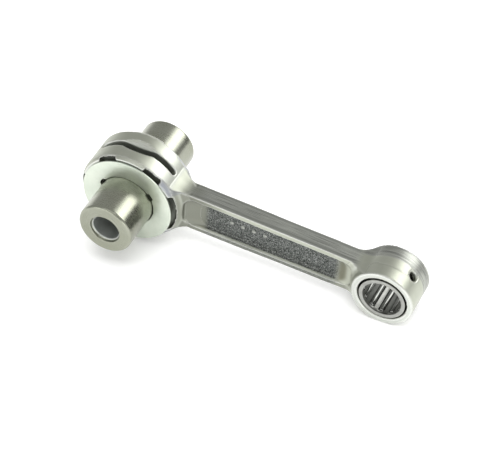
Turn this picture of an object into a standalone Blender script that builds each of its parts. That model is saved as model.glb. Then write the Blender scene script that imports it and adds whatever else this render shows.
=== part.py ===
"""Connecting rod kit of a small two-stroke engine, built as separate pieces.

Everything is laid out in the rod's own frame: the big end's centre is the origin, +X runs along
the rod to the small end, Y is the direction of both bearing axes and Z lies across the beam.
That frame hangs on one empty, which stands the rod on its two eyes on the plane z = 0.
"""
import math

import bmesh
import bpy
from mathutils import Matrix, Vector

MM = 0.001

# ---- driving dimensions, millimetres -------------------------------------------------------
CENTRE_DISTANCE = 105.06      # big end bore to small end bore

BIG_EYE_RADIUS = 20.06
BIG_EYE_HALF_WIDTH = 8.5
BIG_END_SHIFT = -0.4          # the big end stands a little to the front of the beam
BIG_BORE_RADIUS = 14.5
BIG_LAND_RADIUS = 19.2        # flat thrust land, before the rim's chamfer
BIG_RIM_HALF_WIDTH = 7.13     # half width of the rim outside the chamfer

SMALL_EYE_RADIUS = 12.34
SMALL_EYE_HALF_WIDTH = 8.36
SMALL_BORE_RADIUS = 9.91
SMALL_EDGE_CHAMFER = 0.3

BEAM_HALF_THICKNESS = 3.7
WEB_HALF_THICKNESS = 1.8
BEAM_HALF_HEIGHT_BIG = 8.75   # at the big end's fillet
BEAM_HALF_HEIGHT_SMALL = 7.95  # at the small end's fillet
BEAM_CROWN = 0.4              # the flange's outside is this much higher on its middle line
BIG_FILLET_RADIUS = 12.0
SMALL_FILLET_RADIUS = 10.0

POCKET_START = 21.6
POCKET_END = 91.0
POCKET_FLANGE = 2.1           # flange width beside the recess
POCKET_CORNER = 3.6
POCKET_WALL_SLOPE = 0.35      # how far a recess wall leans per unit of depth
POCKET_END_SLOPE = 1.3

PIN_RADIUS = 11.0
PIN_LENGTH = 53.25
PIN_SHIFT = -0.825            # the loose pin stands this far out on the front side
PIN_BORE_RADIUS = 5.36
PIN_COUNTERSINK_RADIUS = 6.4
PIN_EDGE = 1.1

WASHER_RADIUS = 18.68
REAR_WASHER_RADIUS = 17.7
WASHER_HOLE_RADIUS = 11.3
WASHER_NOTCH_RADIUS = 12.2
WASHER_NOTCH_HALF_ANGLE = 7.0
WASHER_NOTCH_RUN = 2.5        # degrees from a notch's end to the hole's own radius
WASHER_NOTCH_ANGLES = (34.0, 154.0, 274.0)
WASHER_STEP = 5.0             # degrees between the points of its outlines
WASHER_THICKNESS = 0.6
WASHER_GAP = 0.25

BIG_ROLLER_COUNT = 14
BIG_ROLLER_RADIUS = 1.70
BIG_ROLLER_HALF_LENGTH = 6.8
BIG_CAGE_INNER = 11.4
BIG_CAGE_OUTER = 14.1
BIG_CAGE_HALF_LENGTH = 7.85
BIG_WINDOW_HALF_ANGLE = 8.2

SMALL_ROLLER_COUNT = 12
SMALL_ROLLER_RADIUS = 1.2
SMALL_ROLLER_PITCH = 8.45
SMALL_ROLLER_HALF_LENGTH = 6.6
SMALL_CAGE_INNER = 7.7
SMALL_CAGE_OUTER = 9.25
SMALL_CAGE_HALF_LENGTH = 8.2
SMALL_WINDOW_HALF_ANGLE = 8.8
SMALL_CAGE_DROP = 0.2         # the loose cage lies on the bottom of its bore
ROLLER_END_CLEARANCE = 0.15

GROOVE_WIDTH = 7.7
GROOVE_DEPTH = 2.1
GROOVE_START = 10.0           # inside the bore
GROOVE_WALL_RADIUS = 19.55    # the grooves stop short of the rim's outside
GROOVE_ANGLES = (60.0, 120.0, 180.0, 240.0, 300.0)
ROOT_POCKET_HALF_HEIGHT = 8.6
ROOT_POCKET_DEPTH = 3.5
ROOT_POCKET_WALL_RADIUS = 19.8
CUT_REACH = 12.0              # half width of the cutters, well outside the rod

SHOULDER_SLOPES = (0.95, 0.85)  # how fast the shoulder's facet falls along X and along Z
SHOULDER_TOP = (16.9, 8.7)    # where the facet is level with the thrust land
SHOULDER_OUTLINE = ((9.5, 17.6), (15.6, 8.6), (24.0, 8.6), (24.0, 20.0), (12.5, 20.0))

SLOT_SHIFT = -0.15            # the slots' own middle along Y
SLOT_HALF_WIDTH = 1.28
SLOT_START, SLOT_END = 40.5, 143.0
SCOOP_CENTRE, SCOOP_HALF_ANGLE = 91.0, 21.5
SCOOP_HALF_WIDTH = 3.1
SCOOP_SLOPE = 1.05            # depth per unit of width
SCOOP_ABOVE = 1.5             # the slot's and the scoop's cutters end this far above the rim

OIL_HOLE_RADIUS = 1.7
OIL_HOLE_ANGLES = (47.0, -47.0)
OIL_COUNTERSINK_RADIUS = 2.5

ARC_STEP = 4.0                # degrees between the points of a round stretch
FILLET_STEPS = 7

# ---- derived places -------------------------------------------------------------------------
TILT = math.asin((BIG_EYE_RADIUS - SMALL_EYE_RADIUS) / CENTRE_DISTANCE)
LEFT_REACH = BIG_EYE_RADIUS
RIGHT_REACH = CENTRE_DISTANCE * math.cos(TILT) + SMALL_EYE_RADIUS
FRAME_X = (LEFT_REACH - RIGHT_REACH) / 2

# ---- colours: red, green, blue, metallic, roughness -----------------------------------------
STEEL_FORGED = (0.36, 0.36, 0.34, 1.0, 0.42)
STEEL_PIN = (0.50, 0.49, 0.43, 1.0, 0.30)
STEEL_ROLLER = (0.55, 0.55, 0.54, 1.0, 0.15)
SILVER_PLATE = (0.80, 0.83, 0.78, 1.0, 0.45)
CAGE_STEEL = (0.52, 0.52, 0.50, 1.0, 0.40)


def clear_scene():
    for item in list(bpy.data.objects):
        bpy.data.objects.remove(item, do_unlink=True)


def material(name, look):
    made = bpy.data.materials.new(name)
    made.use_nodes = True
    shader = made.node_tree.nodes["Principled BSDF"]
    shader.inputs["Base Color"].default_value = (*look[:3], 1.0)
    shader.inputs["Metallic"].default_value = look[3]
    shader.inputs["Roughness"].default_value = look[4]
    return made


def mesh_of(name, points, faces):
    """A mesh in metres from points in millimetres, with its faces turned outwards."""
    shape = bmesh.new()
    corners = [shape.verts.new(Vector(point) * MM) for point in points]
    for face in faces:
        shape.faces.new([corners[index] for index in face])
    bmesh.ops.recalc_face_normals(shape, faces=shape.faces)
    mesh = bpy.data.meshes.new(name)
    shape.to_mesh(mesh)
    shape.free()
    return mesh


def place(name, mesh, parent, look=None, location=(0, 0, 0), turn=0.0):
    """An object in the rod's frame; location in millimetres, turn in degrees about Y."""
    item = bpy.data.objects.new(name, mesh)
    bpy.context.collection.objects.link(item)
    item.parent = parent
    item.location = Vector(location) * MM
    item.rotation_euler = (0, math.radians(turn), 0)
    if look is not None:
        mesh.materials.append(material(name, look))
        mesh.shade_smooth()
        mesh.set_sharp_from_angle(angle=math.radians(30))
    return item


def cutter(name, mesh, parent, shift=0.0):
    """A hidden cutting shape; shift in millimetres along Y."""
    item = place(name, mesh, parent, location=(0, shift, 0))
    item.hide_render = True
    item.display_type = "WIRE"
    return item


def combine(target, other, operation):
    step = target.modifiers.new(other.name, "BOOLEAN")
    step.operation = operation
    step.object = other
    step.solver = "EXACT"


def polar(radius, degrees, y=0.0, centre=0.0):
    """A point at an angle from +X towards +Z round an axis along Y."""
    angle = math.radians(degrees)
    return (centre + radius * math.cos(angle), y, radius * math.sin(angle))


def turned(profile, segments, centre=0.0):
    """A closed profile of (radius, y) points spun about the Y axis through x = centre."""
    points = []
    rings = []
    for radius, y in profile:
        if radius == 0:
            rings.append([len(points)] * segments)
            points.append((centre, y, 0.0))
            continue
        rings.append(list(range(len(points), len(points) + segments)))
        points.extend(polar(radius, 360.0 * k / segments, y, centre) for k in range(segments))
    faces = []
    for ring, following in zip(rings, rings[1:] + rings[:1]):
        for k in range(segments):
            n = (k + 1) % segments
            quad = (ring[k], ring[n], following[n], following[k])
            corners = list(dict.fromkeys(quad))
            if len(corners) > 2:
                faces.append(corners)
    return points, faces


def stacked(rings):
    """Closed outlines of equal length joined in order, with both ends capped."""
    count = len(rings[0])
    points = [point for ring in rings for point in ring]
    faces = [tuple(range(count)), tuple(range(len(points) - count, len(points)))]
    for level in range(len(rings) - 1):
        base = level * count
        for k in range(count):
            n = (k + 1) % count
            faces.append((base + k, base + n, base + count + n, base + count + k))
    return points, faces


def joined(shapes):
    """Several separate (points, faces) shapes as one."""
    points, faces = [], []
    for more_points, more_faces in shapes:
        base = len(points)
        points.extend(more_points)
        faces.extend(tuple(index + base for index in face) for face in more_faces)
    return points, faces


def mirrored_y(shape):
    points, faces = shape
    return [(x, -y, z) for x, y, z in points], faces


def mirrored_z(shape):
    points, faces = shape
    return [(x, y, -z) for x, y, z in points], faces


# ---- the rod ---------------------------------------------------------------------------------
def beam_edge(x):
    """Half height of the beam, a straight taper between the two fillets."""
    share = (x - BIG_FILLET_RADIUS * 2) / (CENTRE_DISTANCE - BIG_FILLET_RADIUS * 3)
    return BEAM_HALF_HEIGHT_BIG + (BEAM_HALF_HEIGHT_SMALL - BEAM_HALF_HEIGHT_BIG) * share


def fillet_centre(eye_radius, eye_x, fillet_radius, side):
    """Centre of the fillet that touches an eye and the beam's edge; side is +1 or -1."""
    x = eye_x + side * eye_radius
    for _ in range(20):
        z = beam_edge(x) + fillet_radius
        x = eye_x + side * math.sqrt((eye_radius + fillet_radius) ** 2 - z ** 2)
    return x, z


def upper_outline():
    """The rod's upper edge from the big end's far side to the small end's far side."""
    big_x, big_z = fillet_centre(BIG_EYE_RADIUS, 0.0, BIG_FILLET_RADIUS, 1)
    small_x, small_z = fillet_centre(SMALL_EYE_RADIUS, CENTRE_DISTANCE, SMALL_FILLET_RADIUS, -1)
    big_touch = math.degrees(math.atan2(big_z, big_x))
    small_touch = math.degrees(math.atan2(small_z, small_x - CENTRE_DISTANCE))
    edge = []
    steps = int((180.0 - big_touch) // ARC_STEP)
    for k in range(steps + 1):
        edge.append(polar(BIG_EYE_RADIUS, 180.0 - ARC_STEP * k))
    for k in range(FILLET_STEPS + 1):
        angle = 180.0 + big_touch + (270.0 - 180.0 - big_touch) * k / FILLET_STEPS
        x, _, z = polar(BIG_FILLET_RADIUS, angle, centre=big_x)
        edge.append((x, 0.0, z + big_z))
    for k in range(FILLET_STEPS + 1):
        angle = 270.0 + (small_touch - 90.0) * k / FILLET_STEPS
        x, _, z = polar(SMALL_FILLET_RADIUS, angle, centre=small_x)
        edge.append((x, 0.0, z + small_z))
    steps = int(small_touch // ARC_STEP)
    for k in range(steps, -1, -1):
        edge.append(polar(SMALL_EYE_RADIUS, ARC_STEP * k, centre=CENTRE_DISTANCE))
    return edge


def crown_share(x):
    """How much of the flange's crown there is at x: none at the eyes, all along the beam."""
    start, end = 17.0, CENTRE_DISTANCE - 9.0
    run = 8.0
    return max(0.0, min(1.0, (x - start) / run, (end - x) / run))


def rod_blank():
    """The rod's outline, full width, with the flanges' slight crown."""
    edge = upper_outline()
    rings = []
    reach = SMALL_EYE_HALF_WIDTH + 1.0
    levels = (-reach, -BEAM_HALF_THICKNESS, 0.0, BEAM_HALF_THICKNESS, reach)
    for y in levels:
        lift = BEAM_CROWN if y == 0.0 else 0.0
        top = [(x, y, z + lift * crown_share(x)) for x, _, z in edge]
        bottom = [(x, y, -z) for x, _, z in reversed(top[1:-1])]
        rings.append(top + bottom)
    return stacked(rings)


def eye_envelope(profile, centre):
    """A solid of revolution from the (radius, half width) points of one side."""
    upper = [(0.0, profile[0][1])] + list(profile)
    lower = [(radius, -y) for radius, y in reversed(upper)]
    return turned(upper + lower, int(360 / ARC_STEP), centre)


def big_eye_profile():
    land = (BIG_LAND_RADIUS, BIG_EYE_HALF_WIDTH)
    rim = (BIG_EYE_RADIUS, BIG_RIM_HALF_WIDTH)
    return [land, rim, (20.8, 5.7), (22.0, 4.4), (24.5, BEAM_HALF_THICKNESS - 0.4)]


def small_eye_profile():
    face = (SMALL_EYE_RADIUS - SMALL_EDGE_CHAMFER, SMALL_EYE_HALF_WIDTH)
    edge = (SMALL_EYE_RADIUS, SMALL_EYE_HALF_WIDTH - SMALL_EDGE_CHAMFER)
    return [face, edge, (13.1, 6.6), (14.2, 5.3), (15.8, 4.3), (18.0, BEAM_HALF_THICKNESS - 0.2)]


def beam_slab():
    low, high = -BIG_EYE_RADIUS - 8, BIG_EYE_RADIUS + 8
    outline = [(5.0, low), (CENTRE_DISTANCE, low), (CENTRE_DISTANCE, high), (5.0, high)]
    rings = [[(x, y, z) for x, z in outline] for y in (-BEAM_HALF_THICKNESS, BEAM_HALF_THICKNESS)]
    return stacked(rings)


def pocket_outline(y, shrink, end_shrink):
    """The recess's outline at one depth: a tapered slot with rounded corners."""
    start = POCKET_START + end_shrink
    end = POCKET_END - end_shrink
    corner = POCKET_CORNER
    steps = 4
    upper = []
    for k in range(steps + 1):
        angle = 180.0 - 90.0 * k / steps
        x, _, z = polar(corner, angle, centre=start + corner)
        upper.append((x, y, z + beam_edge(x) - POCKET_FLANGE - shrink - corner))
    for k in range(steps + 1):
        angle = 90.0 - 90.0 * k / steps
        x, _, z = polar(corner, angle, centre=end - corner)
        upper.append((x, y, z + beam_edge(x) - POCKET_FLANGE - shrink - corner))
    return upper + [(x, y, -z) for x, _, z in reversed(upper)]


def web_pocket():
    """Cutter of the recess on the front side, leaning outwards as it leaves the web."""
    depth = BEAM_HALF_THICKNESS - WEB_HALF_THICKNESS
    above = 2.5
    floor = pocket_outline(-WEB_HALF_THICKNESS, POCKET_WALL_SLOPE * depth, POCKET_END_SLOPE * depth)
    rim = pocket_outline(-BEAM_HALF_THICKNESS, 0.0, 0.0)
    mouth = pocket_outline(-BEAM_HALF_THICKNESS - above, -POCKET_WALL_SLOPE * above, -0.3)
    return stacked([floor, rim, mouth])


def prism(outline, low, high):
    """An outline of (x, z) points made solid between two places along Y."""
    return stacked([[(x, y, z) for x, z in outline] for y in (low, high)])


def sector(start_x, half, wall_radius):
    """A strip along +X from start_x to a round end wall, as (x, z) points."""
    reach = math.degrees(math.asin(half / wall_radius))
    steps = 8
    wall = [polar(wall_radius, -reach + 2 * reach * k / steps) for k in range(steps + 1)]
    return [(x, z) for x, _, z in wall] + [(start_x, half), (start_x, -half)]


def face_grooves():
    """Cutters of the radial oil grooves in the front thrust face."""
    floor = -BIG_EYE_HALF_WIDTH + GROOVE_DEPTH
    strip = sector(GROOVE_START, GROOVE_WIDTH / 2, GROOVE_WALL_RADIUS)
    shapes = []
    for angle in GROOVE_ANGLES:
        turn = Matrix.Rotation(math.radians(angle), 2)
        outline = [tuple(turn @ Vector(point)) for point in strip]
        shapes.append(prism(outline, floor, -CUT_REACH))
    return joined(shapes)


def root_pocket():
    """Cutter of the deeper pocket where the beam meets the front thrust face."""
    floor = -BIG_EYE_HALF_WIDTH + ROOT_POCKET_DEPTH
    outline = sector(BIG_BORE_RADIUS - 3.5, ROOT_POCKET_HALF_HEIGHT, ROOT_POCKET_WALL_RADIUS)
    return prism(outline, floor, -CUT_REACH)


def shoulder_facet():
    """Cutter of the slanted facet between the front thrust land and the upper side of the neck."""
    facet = []
    for x, z in SHOULDER_OUTLINE:
        fall = SHOULDER_SLOPES[0] * (x - SHOULDER_TOP[0]) + SHOULDER_SLOPES[1] * (z - SHOULDER_TOP[1])
        facet.append((x, fall - BIG_EYE_HALF_WIDTH, z))
    return stacked([facet, [(x, -CUT_REACH, z) for x, z in SHOULDER_OUTLINE]])


def rim_slot():
    """Cutter of the long oil slot through the big end's rim, on its middle plane."""
    steps = 26
    inner = BIG_BORE_RADIUS - 1.5
    outer = BIG_EYE_RADIUS + SCOOP_ABOVE
    rings = []
    for k in range(steps + 1):
        angle = SLOT_START + (SLOT_END - SLOT_START) * k / steps
        half = SLOT_HALF_WIDTH * (0.55 if k in (0, steps) else 1.0)
        corners = ((inner, -half), (inner, half), (outer, half), (outer, -half))
        rings.append([polar(radius, angle, y) for radius, y in corners])
    return stacked(rings)


def rim_scoop():
    """Cutter of the lens-shaped lead-in that widens the slot on top."""
    steps = 12
    rings = []
    narrow = SLOT_HALF_WIDTH * 0.8
    for k in range(steps + 1):
        share = 2.0 * k / steps - 1.0
        angle = SCOOP_CENTRE + SCOOP_HALF_ANGLE * share
        half = narrow + 0.06 + (SCOOP_HALF_WIDTH - narrow) * (1.0 - share ** 2)
        depth = (half - narrow) * SCOOP_SLOPE
        wide = half + SCOOP_ABOVE / SCOOP_SLOPE
        top = BIG_EYE_RADIUS + SCOOP_ABOVE
        bottom = BIG_EYE_RADIUS - depth
        corners = ((bottom, -narrow), (bottom, narrow), (top, wide), (top, -wide))
        rings.append([polar(radius, angle, y) for radius, y in corners])
    return stacked(rings)


def oil_holes():
    """Cutters of the small end's radial oil holes with their countersinks."""
    countersink = OIL_COUNTERSINK_RADIUS - OIL_HOLE_RADIUS
    wall_top = SMALL_EYE_RADIUS - countersink
    flare = OIL_COUNTERSINK_RADIUS + 0.5
    inner = SMALL_BORE_RADIUS - 1.1
    outer = SMALL_EYE_RADIUS + 2.7
    profile = ((OIL_HOLE_RADIUS, inner), (OIL_HOLE_RADIUS, wall_top),
               (flare, SMALL_EYE_RADIUS + 0.5), (flare, outer))
    sides = 20
    shapes = []
    for angle in OIL_HOLE_ANGLES:
        turn = Matrix.Rotation(math.radians(-angle), 3, "Y")
        rings = []
        for radius, distance in profile:
            ring = []
            for k in range(sides):
                around = 2.0 * math.pi * k / sides
                point = Vector((distance, radius * math.cos(around), radius * math.sin(around)))
                turned_point = turn @ point
                ring.append((turned_point.x + CENTRE_DISTANCE, turned_point.y, turned_point.z))
            rings.append(ring)
        shapes.append(stacked(rings))
    return joined(shapes)


def bore(radius, centre, segments):
    reach = CUT_REACH
    return turned([(0.0, -reach), (radius, -reach), (radius, reach), (0.0, reach)], segments, centre)


def make_rod(parent):
    segments = int(360 / ARC_STEP)
    envelope = cutter("envelope_beam", mesh_of("envelope_beam", *beam_slab()), parent)
    eyes = (("envelope_big_eye", BIG_END_SHIFT, eye_envelope(big_eye_profile(), 0.0)),
            ("envelope_small_eye", 0.0, eye_envelope(small_eye_profile(), CENTRE_DISTANCE)))
    for name, shift, shape in eyes:
        combine(envelope, cutter(name, mesh_of(name, *shape), parent, shift), "UNION")
    rod = place("connecting_rod", mesh_of("connecting_rod", *rod_blank()), parent, STEEL_FORGED)
    combine(rod, envelope, "INTERSECT")
    shoulders = [shoulder_facet(), mirrored_z(shoulder_facet())]
    cuts = (("cut_big_bore", 0.0, bore(BIG_BORE_RADIUS, 0.0, segments)),
            ("cut_small_bore", 0.0, bore(SMALL_BORE_RADIUS, CENTRE_DISTANCE, 64)),
            ("cut_pockets", 0.0, joined([web_pocket(), mirrored_y(web_pocket())])),
            ("cut_grooves", BIG_END_SHIFT, joined([face_grooves(), mirrored_y(face_grooves())])),
            ("cut_roots", BIG_END_SHIFT, joined([root_pocket(), mirrored_y(root_pocket())])),
            ("cut_shoulders", BIG_END_SHIFT, joined(shoulders + [mirrored_y(shape) for shape in shoulders])),
            ("cut_slots", SLOT_SHIFT, joined([rim_slot(), mirrored_z(rim_slot())])),
            ("cut_scoops", SLOT_SHIFT, joined([rim_scoop(), mirrored_z(rim_scoop())])),
            ("cut_oil_holes", 0.0, oil_holes()))
    for name, shift, shape in cuts:
        combine(rod, cutter(name, mesh_of(name, *shape), parent, shift), "DIFFERENCE")
    return rod


# ---- pin, washers, bearings ------------------------------------------------------------------
def make_pin(parent):
    half = PIN_LENGTH / 2
    sink = PIN_COUNTERSINK_RADIUS - PIN_BORE_RADIUS
    upper = [(PIN_BORE_RADIUS, half - sink), (PIN_COUNTERSINK_RADIUS, half),
             (PIN_RADIUS - PIN_EDGE, half), (PIN_RADIUS - PIN_EDGE * 0.3, half - PIN_EDGE * 0.3),
             (PIN_RADIUS, half - PIN_EDGE)]
    profile = upper + [(radius, -y) for radius, y in reversed(upper)]
    mesh = mesh_of("crank_pin", *turned(profile, 64))
    return place("crank_pin", mesh, parent, STEEL_PIN, (0, PIN_SHIFT, 0))


def washer_hole_radius(degrees):
    for notch in WASHER_NOTCH_ANGLES:
        away = abs((degrees - notch + 180.0) % 360.0 - 180.0)
        if away <= WASHER_NOTCH_HALF_ANGLE:
            return WASHER_NOTCH_RADIUS
    return WASHER_HOLE_RADIUS


def washer_shape(rim_radius):
    angles = {WASHER_STEP * k for k in range(int(360 / WASHER_STEP))}
    for notch in WASHER_NOTCH_ANGLES:
        for side in (-1, 1):
            angles.add(notch + side * WASHER_NOTCH_HALF_ANGLE)
            angles.add(notch + side * (WASHER_NOTCH_HALF_ANGLE + WASHER_NOTCH_RUN))
    angles = sorted(angles)
    rings = []
    for kind, y in (("hole", 0.0), ("hole", WASHER_THICKNESS), ("rim", WASHER_THICKNESS), ("rim", 0.0)):
        ring = []
        for angle in angles:
            radius = washer_hole_radius(angle) if kind == "hole" else rim_radius
            ring.append(polar(radius, angle, y))
        rings.append(ring)
    count = len(angles)
    points = [point for ring in rings for point in ring]
    faces = []
    for level in range(4):
        base, following = level * count, (level + 1) % 4 * count
        for k in range(count):
            n = (k + 1) % count
            faces.append((base + k, base + n, following + n, following + k))
    return points, faces


def make_washers(parent):
    front = mesh_of("thrust_washer_front", *washer_shape(WASHER_RADIUS))
    front_y = BIG_END_SHIFT - BIG_EYE_HALF_WIDTH - WASHER_GAP - WASHER_THICKNESS
    place("thrust_washer_front", front, parent, SILVER_PLATE, (0, front_y, 0))
    rear = mesh_of("thrust_washer_rear", *washer_shape(REAR_WASHER_RADIUS))
    rear_y = BIG_END_SHIFT + BIG_EYE_HALF_WIDTH + WASHER_GAP
    place("thrust_washer_rear", rear, parent, SILVER_PLATE, (0, rear_y, 0))


def cage_shape(inner, outer, half_length, window_half_length, count, window_half_angle):
    """A ring with a window for each roller, made as a grid of cells round the axis."""
    pitch = 360.0 / count
    angles, is_window = [], []
    for k in range(count):
        middle = pitch * k
        angles += [middle - window_half_angle, middle, middle + window_half_angle]
        angles += [middle + pitch / 2]
        is_window += [True, True, False, False]
    levels = (-half_length, -window_half_length, window_half_length, half_length)
    columns = len(angles)
    points = [polar(radius, angle, y) for radius in (inner, outer) for y in levels for angle in angles]

    def corner(side, level, column):
        return (side * len(levels) + level) * columns + column % columns

    def solid(level, column):
        if level < 0 or level > 2:
            return False
        return level != 1 or not is_window[column % columns]

    square = ((0, 0), (0, 1), (1, 1), (1, 0))
    faces = []
    for level in range(3):
        for column in range(columns):
            if not solid(level, column):
                continue
            for side in (0, 1):
                faces.append([corner(side, level + a, column + b) for a, b in square])
            for shift in (0, 1):
                if not solid(level, column + 2 * shift - 1):
                    faces.append([corner(a, level + b, column + shift) for a, b in square])
                if not solid(level + 2 * shift - 1, column):
                    faces.append([corner(a, level + shift, column + b) for a, b in square])
    return points, faces


def roller_shape(radius, half_length):
    edge = radius * 0.12
    upper = [(0.0, half_length), (radius - edge, half_length), (radius, half_length - edge)]
    profile = upper + [(r, -y) for r, y in reversed(upper)]
    return turned(profile, 16)


def make_bearing(parent, title, count, roller, cage, pitch, centre):
    """One caged needle bearing: the cage and its rollers, each roller its own object."""
    cage_mesh = mesh_of(title + "_cage", *cage_shape(*cage))
    place(title + "_cage", cage_mesh, parent, CAGE_STEEL, centre)
    for k in range(count):
        name = f"{title}_roller_{k + 1:02d}"
        angle = 360.0 * k / count
        x, _, z = polar(pitch, angle)
        where = (centre[0] + x, centre[1], centre[2] + z)
        place(name, mesh_of(name, *roller_shape(*roller)), parent, STEEL_ROLLER, where, -angle)


def make_bearings(parent):
    big_window = BIG_ROLLER_HALF_LENGTH + ROLLER_END_CLEARANCE
    big_cage = (BIG_CAGE_INNER, BIG_CAGE_OUTER, BIG_CAGE_HALF_LENGTH, big_window,
                BIG_ROLLER_COUNT, BIG_WINDOW_HALF_ANGLE)
    big_pitch = (PIN_RADIUS + BIG_BORE_RADIUS) / 2
    make_bearing(parent, "big_end", BIG_ROLLER_COUNT, (BIG_ROLLER_RADIUS, BIG_ROLLER_HALF_LENGTH),
                 big_cage, big_pitch, (0.0, 0.0, 0.0))
    small_window = SMALL_ROLLER_HALF_LENGTH + ROLLER_END_CLEARANCE
    small_cage = (SMALL_CAGE_INNER, SMALL_CAGE_OUTER, SMALL_CAGE_HALF_LENGTH, small_window,
                  SMALL_ROLLER_COUNT, SMALL_WINDOW_HALF_ANGLE)
    small_centre = (CENTRE_DISTANCE, 0.0, -SMALL_CAGE_DROP)
    make_bearing(parent, "small_end", SMALL_ROLLER_COUNT, (SMALL_ROLLER_RADIUS, SMALL_ROLLER_HALF_LENGTH),
                 small_cage, SMALL_ROLLER_PITCH, small_centre)


def main():
    clear_scene()
    frame = bpy.data.objects.new("rod_frame", None)
    bpy.context.collection.objects.link(frame)
    frame.location = (FRAME_X * MM, -PIN_SHIFT * MM, BIG_EYE_RADIUS * MM)
    frame.rotation_euler = (0, TILT, 0)
    make_rod(frame)
    make_pin(frame)
    make_washers(frame)
    make_bearings(frame)


main()
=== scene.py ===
# %% [markdown]
# A connecting rod kit from a small two-stroke engine, as a lesson in modelling machined and forged steel.
#
# The real kit is a forged rod with a big eye and a small eye, a hollow crank pin, two silver plated
# thrust washers and a caged needle bearing in each eye. The imported parts give every size and place,
# and this file makes the fine surfaces around them: rounded edges, grinding marks, the blasted recess in
# the beam, painted dark as shade, and the plating's soft bloom. Some other shade and highlights are
# painted into the colours as well.

# %% Load the fixed frame
import math
import bmesh
import bpy
import numpy as np
from mathutils import Matrix, Vector


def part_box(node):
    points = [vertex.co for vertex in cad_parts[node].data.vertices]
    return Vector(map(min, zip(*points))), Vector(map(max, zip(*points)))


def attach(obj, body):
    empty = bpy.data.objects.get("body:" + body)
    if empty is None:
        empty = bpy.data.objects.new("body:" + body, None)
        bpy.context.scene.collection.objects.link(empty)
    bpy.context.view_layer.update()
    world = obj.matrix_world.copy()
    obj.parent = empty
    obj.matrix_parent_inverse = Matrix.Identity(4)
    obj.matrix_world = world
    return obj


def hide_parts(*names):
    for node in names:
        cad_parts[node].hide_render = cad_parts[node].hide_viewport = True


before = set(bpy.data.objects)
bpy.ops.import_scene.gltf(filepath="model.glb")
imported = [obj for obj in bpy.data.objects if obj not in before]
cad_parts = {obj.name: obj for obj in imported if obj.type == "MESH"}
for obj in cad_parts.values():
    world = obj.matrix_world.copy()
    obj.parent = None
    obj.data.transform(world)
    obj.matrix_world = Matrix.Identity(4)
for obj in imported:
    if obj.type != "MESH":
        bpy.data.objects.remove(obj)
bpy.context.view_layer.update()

# %% [markdown]
# ## One frame for the rod
#
# The rod stands on its two eyes, so its own centre line falls towards the small end. It is far easier
# to model it lying straight, so every piece below is made in the rod's own frame, in millimetres:
# the crank pin's axis is the origin, +X points to the small end and Y runs along the bearing axes.
# One matrix then takes a finished mesh to its place.

# %% The rod's frame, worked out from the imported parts
MM = 0.001
CENTRE_DISTANCE = 105.06
BIG_EYE_RADIUS = 20.06
SMALL_EYE_RADIUS = 12.34


def box_centre(node):
    low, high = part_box(node)
    return (low + high) / 2


pin_low, pin_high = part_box("crank_pin")
PIN_RADIUS = (pin_high.z - pin_low.z) / 2 / MM
PIN_HALF_LENGTH = (pin_high.y - pin_low.y) / 2 / MM
ROD_MIDDLE_Y = box_centre("small_end_cage").y
PIN_SHIFT = (box_centre("crank_pin").y - ROD_MIDDLE_Y) / MM
TILT = math.asin((BIG_EYE_RADIUS - SMALL_EYE_RADIUS) / CENTRE_DISTANCE)
ROD_ORIGIN = Vector((box_centre("crank_pin").x, ROD_MIDDLE_Y, box_centre("crank_pin").z))
TO_PLACE = Matrix.Translation(ROD_ORIGIN) @ Matrix.Rotation(TILT, 4, "Y") @ Matrix.Scale(MM, 4)
print("pin radius", round(PIN_RADIUS, 3), "mm, half length", round(PIN_HALF_LENGTH, 3), "mm")
print("tilt", round(math.degrees(TILT), 2), "degrees")

# %% [markdown]
# ## Three ways to make a solid
#
# Machined parts come from few operations. A lathe spins a profile, a saw or a mill follows an outline,
# and a forging is an outline whose sides lean. Two small functions cover them: `turned` spins a closed
# profile about the Y axis, and `stacked` joins outlines of equal length one above the other.

# %% Points, profiles and outlines
def polar(radius, degrees, y=0.0, centre=0.0):
    """A point at an angle from +X towards +Z round an axis along Y."""
    angle = math.radians(degrees)
    return (centre + radius * math.cos(angle), y, radius * math.sin(angle))


def turned(profile, segments, centre=0.0):
    """A closed profile of (radius, y) points spun about the Y axis through x = centre."""
    points, rings = [], []
    for radius, y in profile:
        if radius == 0:
            rings.append([len(points)] * segments)
            points.append((centre, y, 0.0))
            continue
        rings.append(list(range(len(points), len(points) + segments)))
        points.extend(polar(radius, 360.0 * k / segments, y, centre) for k in range(segments))
    faces = []
    for ring, following in zip(rings, rings[1:] + rings[:1]):
        for k in range(segments):
            n = (k + 1) % segments
            corners = list(dict.fromkeys((ring[k], ring[n], following[n], following[k])))
            if len(corners) > 2:
                faces.append(corners)
    return points, faces


def stacked(rings):
    """Closed outlines of equal length joined in order, with both ends capped."""
    count = len(rings[0])
    points = [point for ring in rings for point in ring]
    faces = [tuple(range(count)), tuple(range(len(points) - count, len(points)))]
    for level in range(len(rings) - 1):
        base = level * count
        for k in range(count):
            n = (k + 1) % count
            faces.append((base + k, base + n, base + count + n, base + count + k))
    return points, faces


def prism(outline, low, high):
    """An outline of (x, z) points made solid between two places along Y."""
    return stacked([[(x, y, z) for x, z in outline] for y in (low, high)])


def joined(shapes):
    """Several separate shapes as one."""
    points, faces = [], []
    for more_points, more_faces in shapes:
        base = len(points)
        points.extend(more_points)
        faces.extend(tuple(index + base for index in face) for face in more_faces)
    return points, faces


def flipped(shape, axis):
    """The mirror image of a shape across one axis, 1 for Y or 2 for Z."""
    points, faces = shape
    mirrored = [tuple(-value if k == axis else value for k, value in enumerate(point)) for point in points]
    return mirrored, faces


print("a ring spun in 8 steps:", len(turned([(1.0, 0.0), (2.0, 0.0), (2.0, 1.0)], 8)[1]), "faces")

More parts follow.
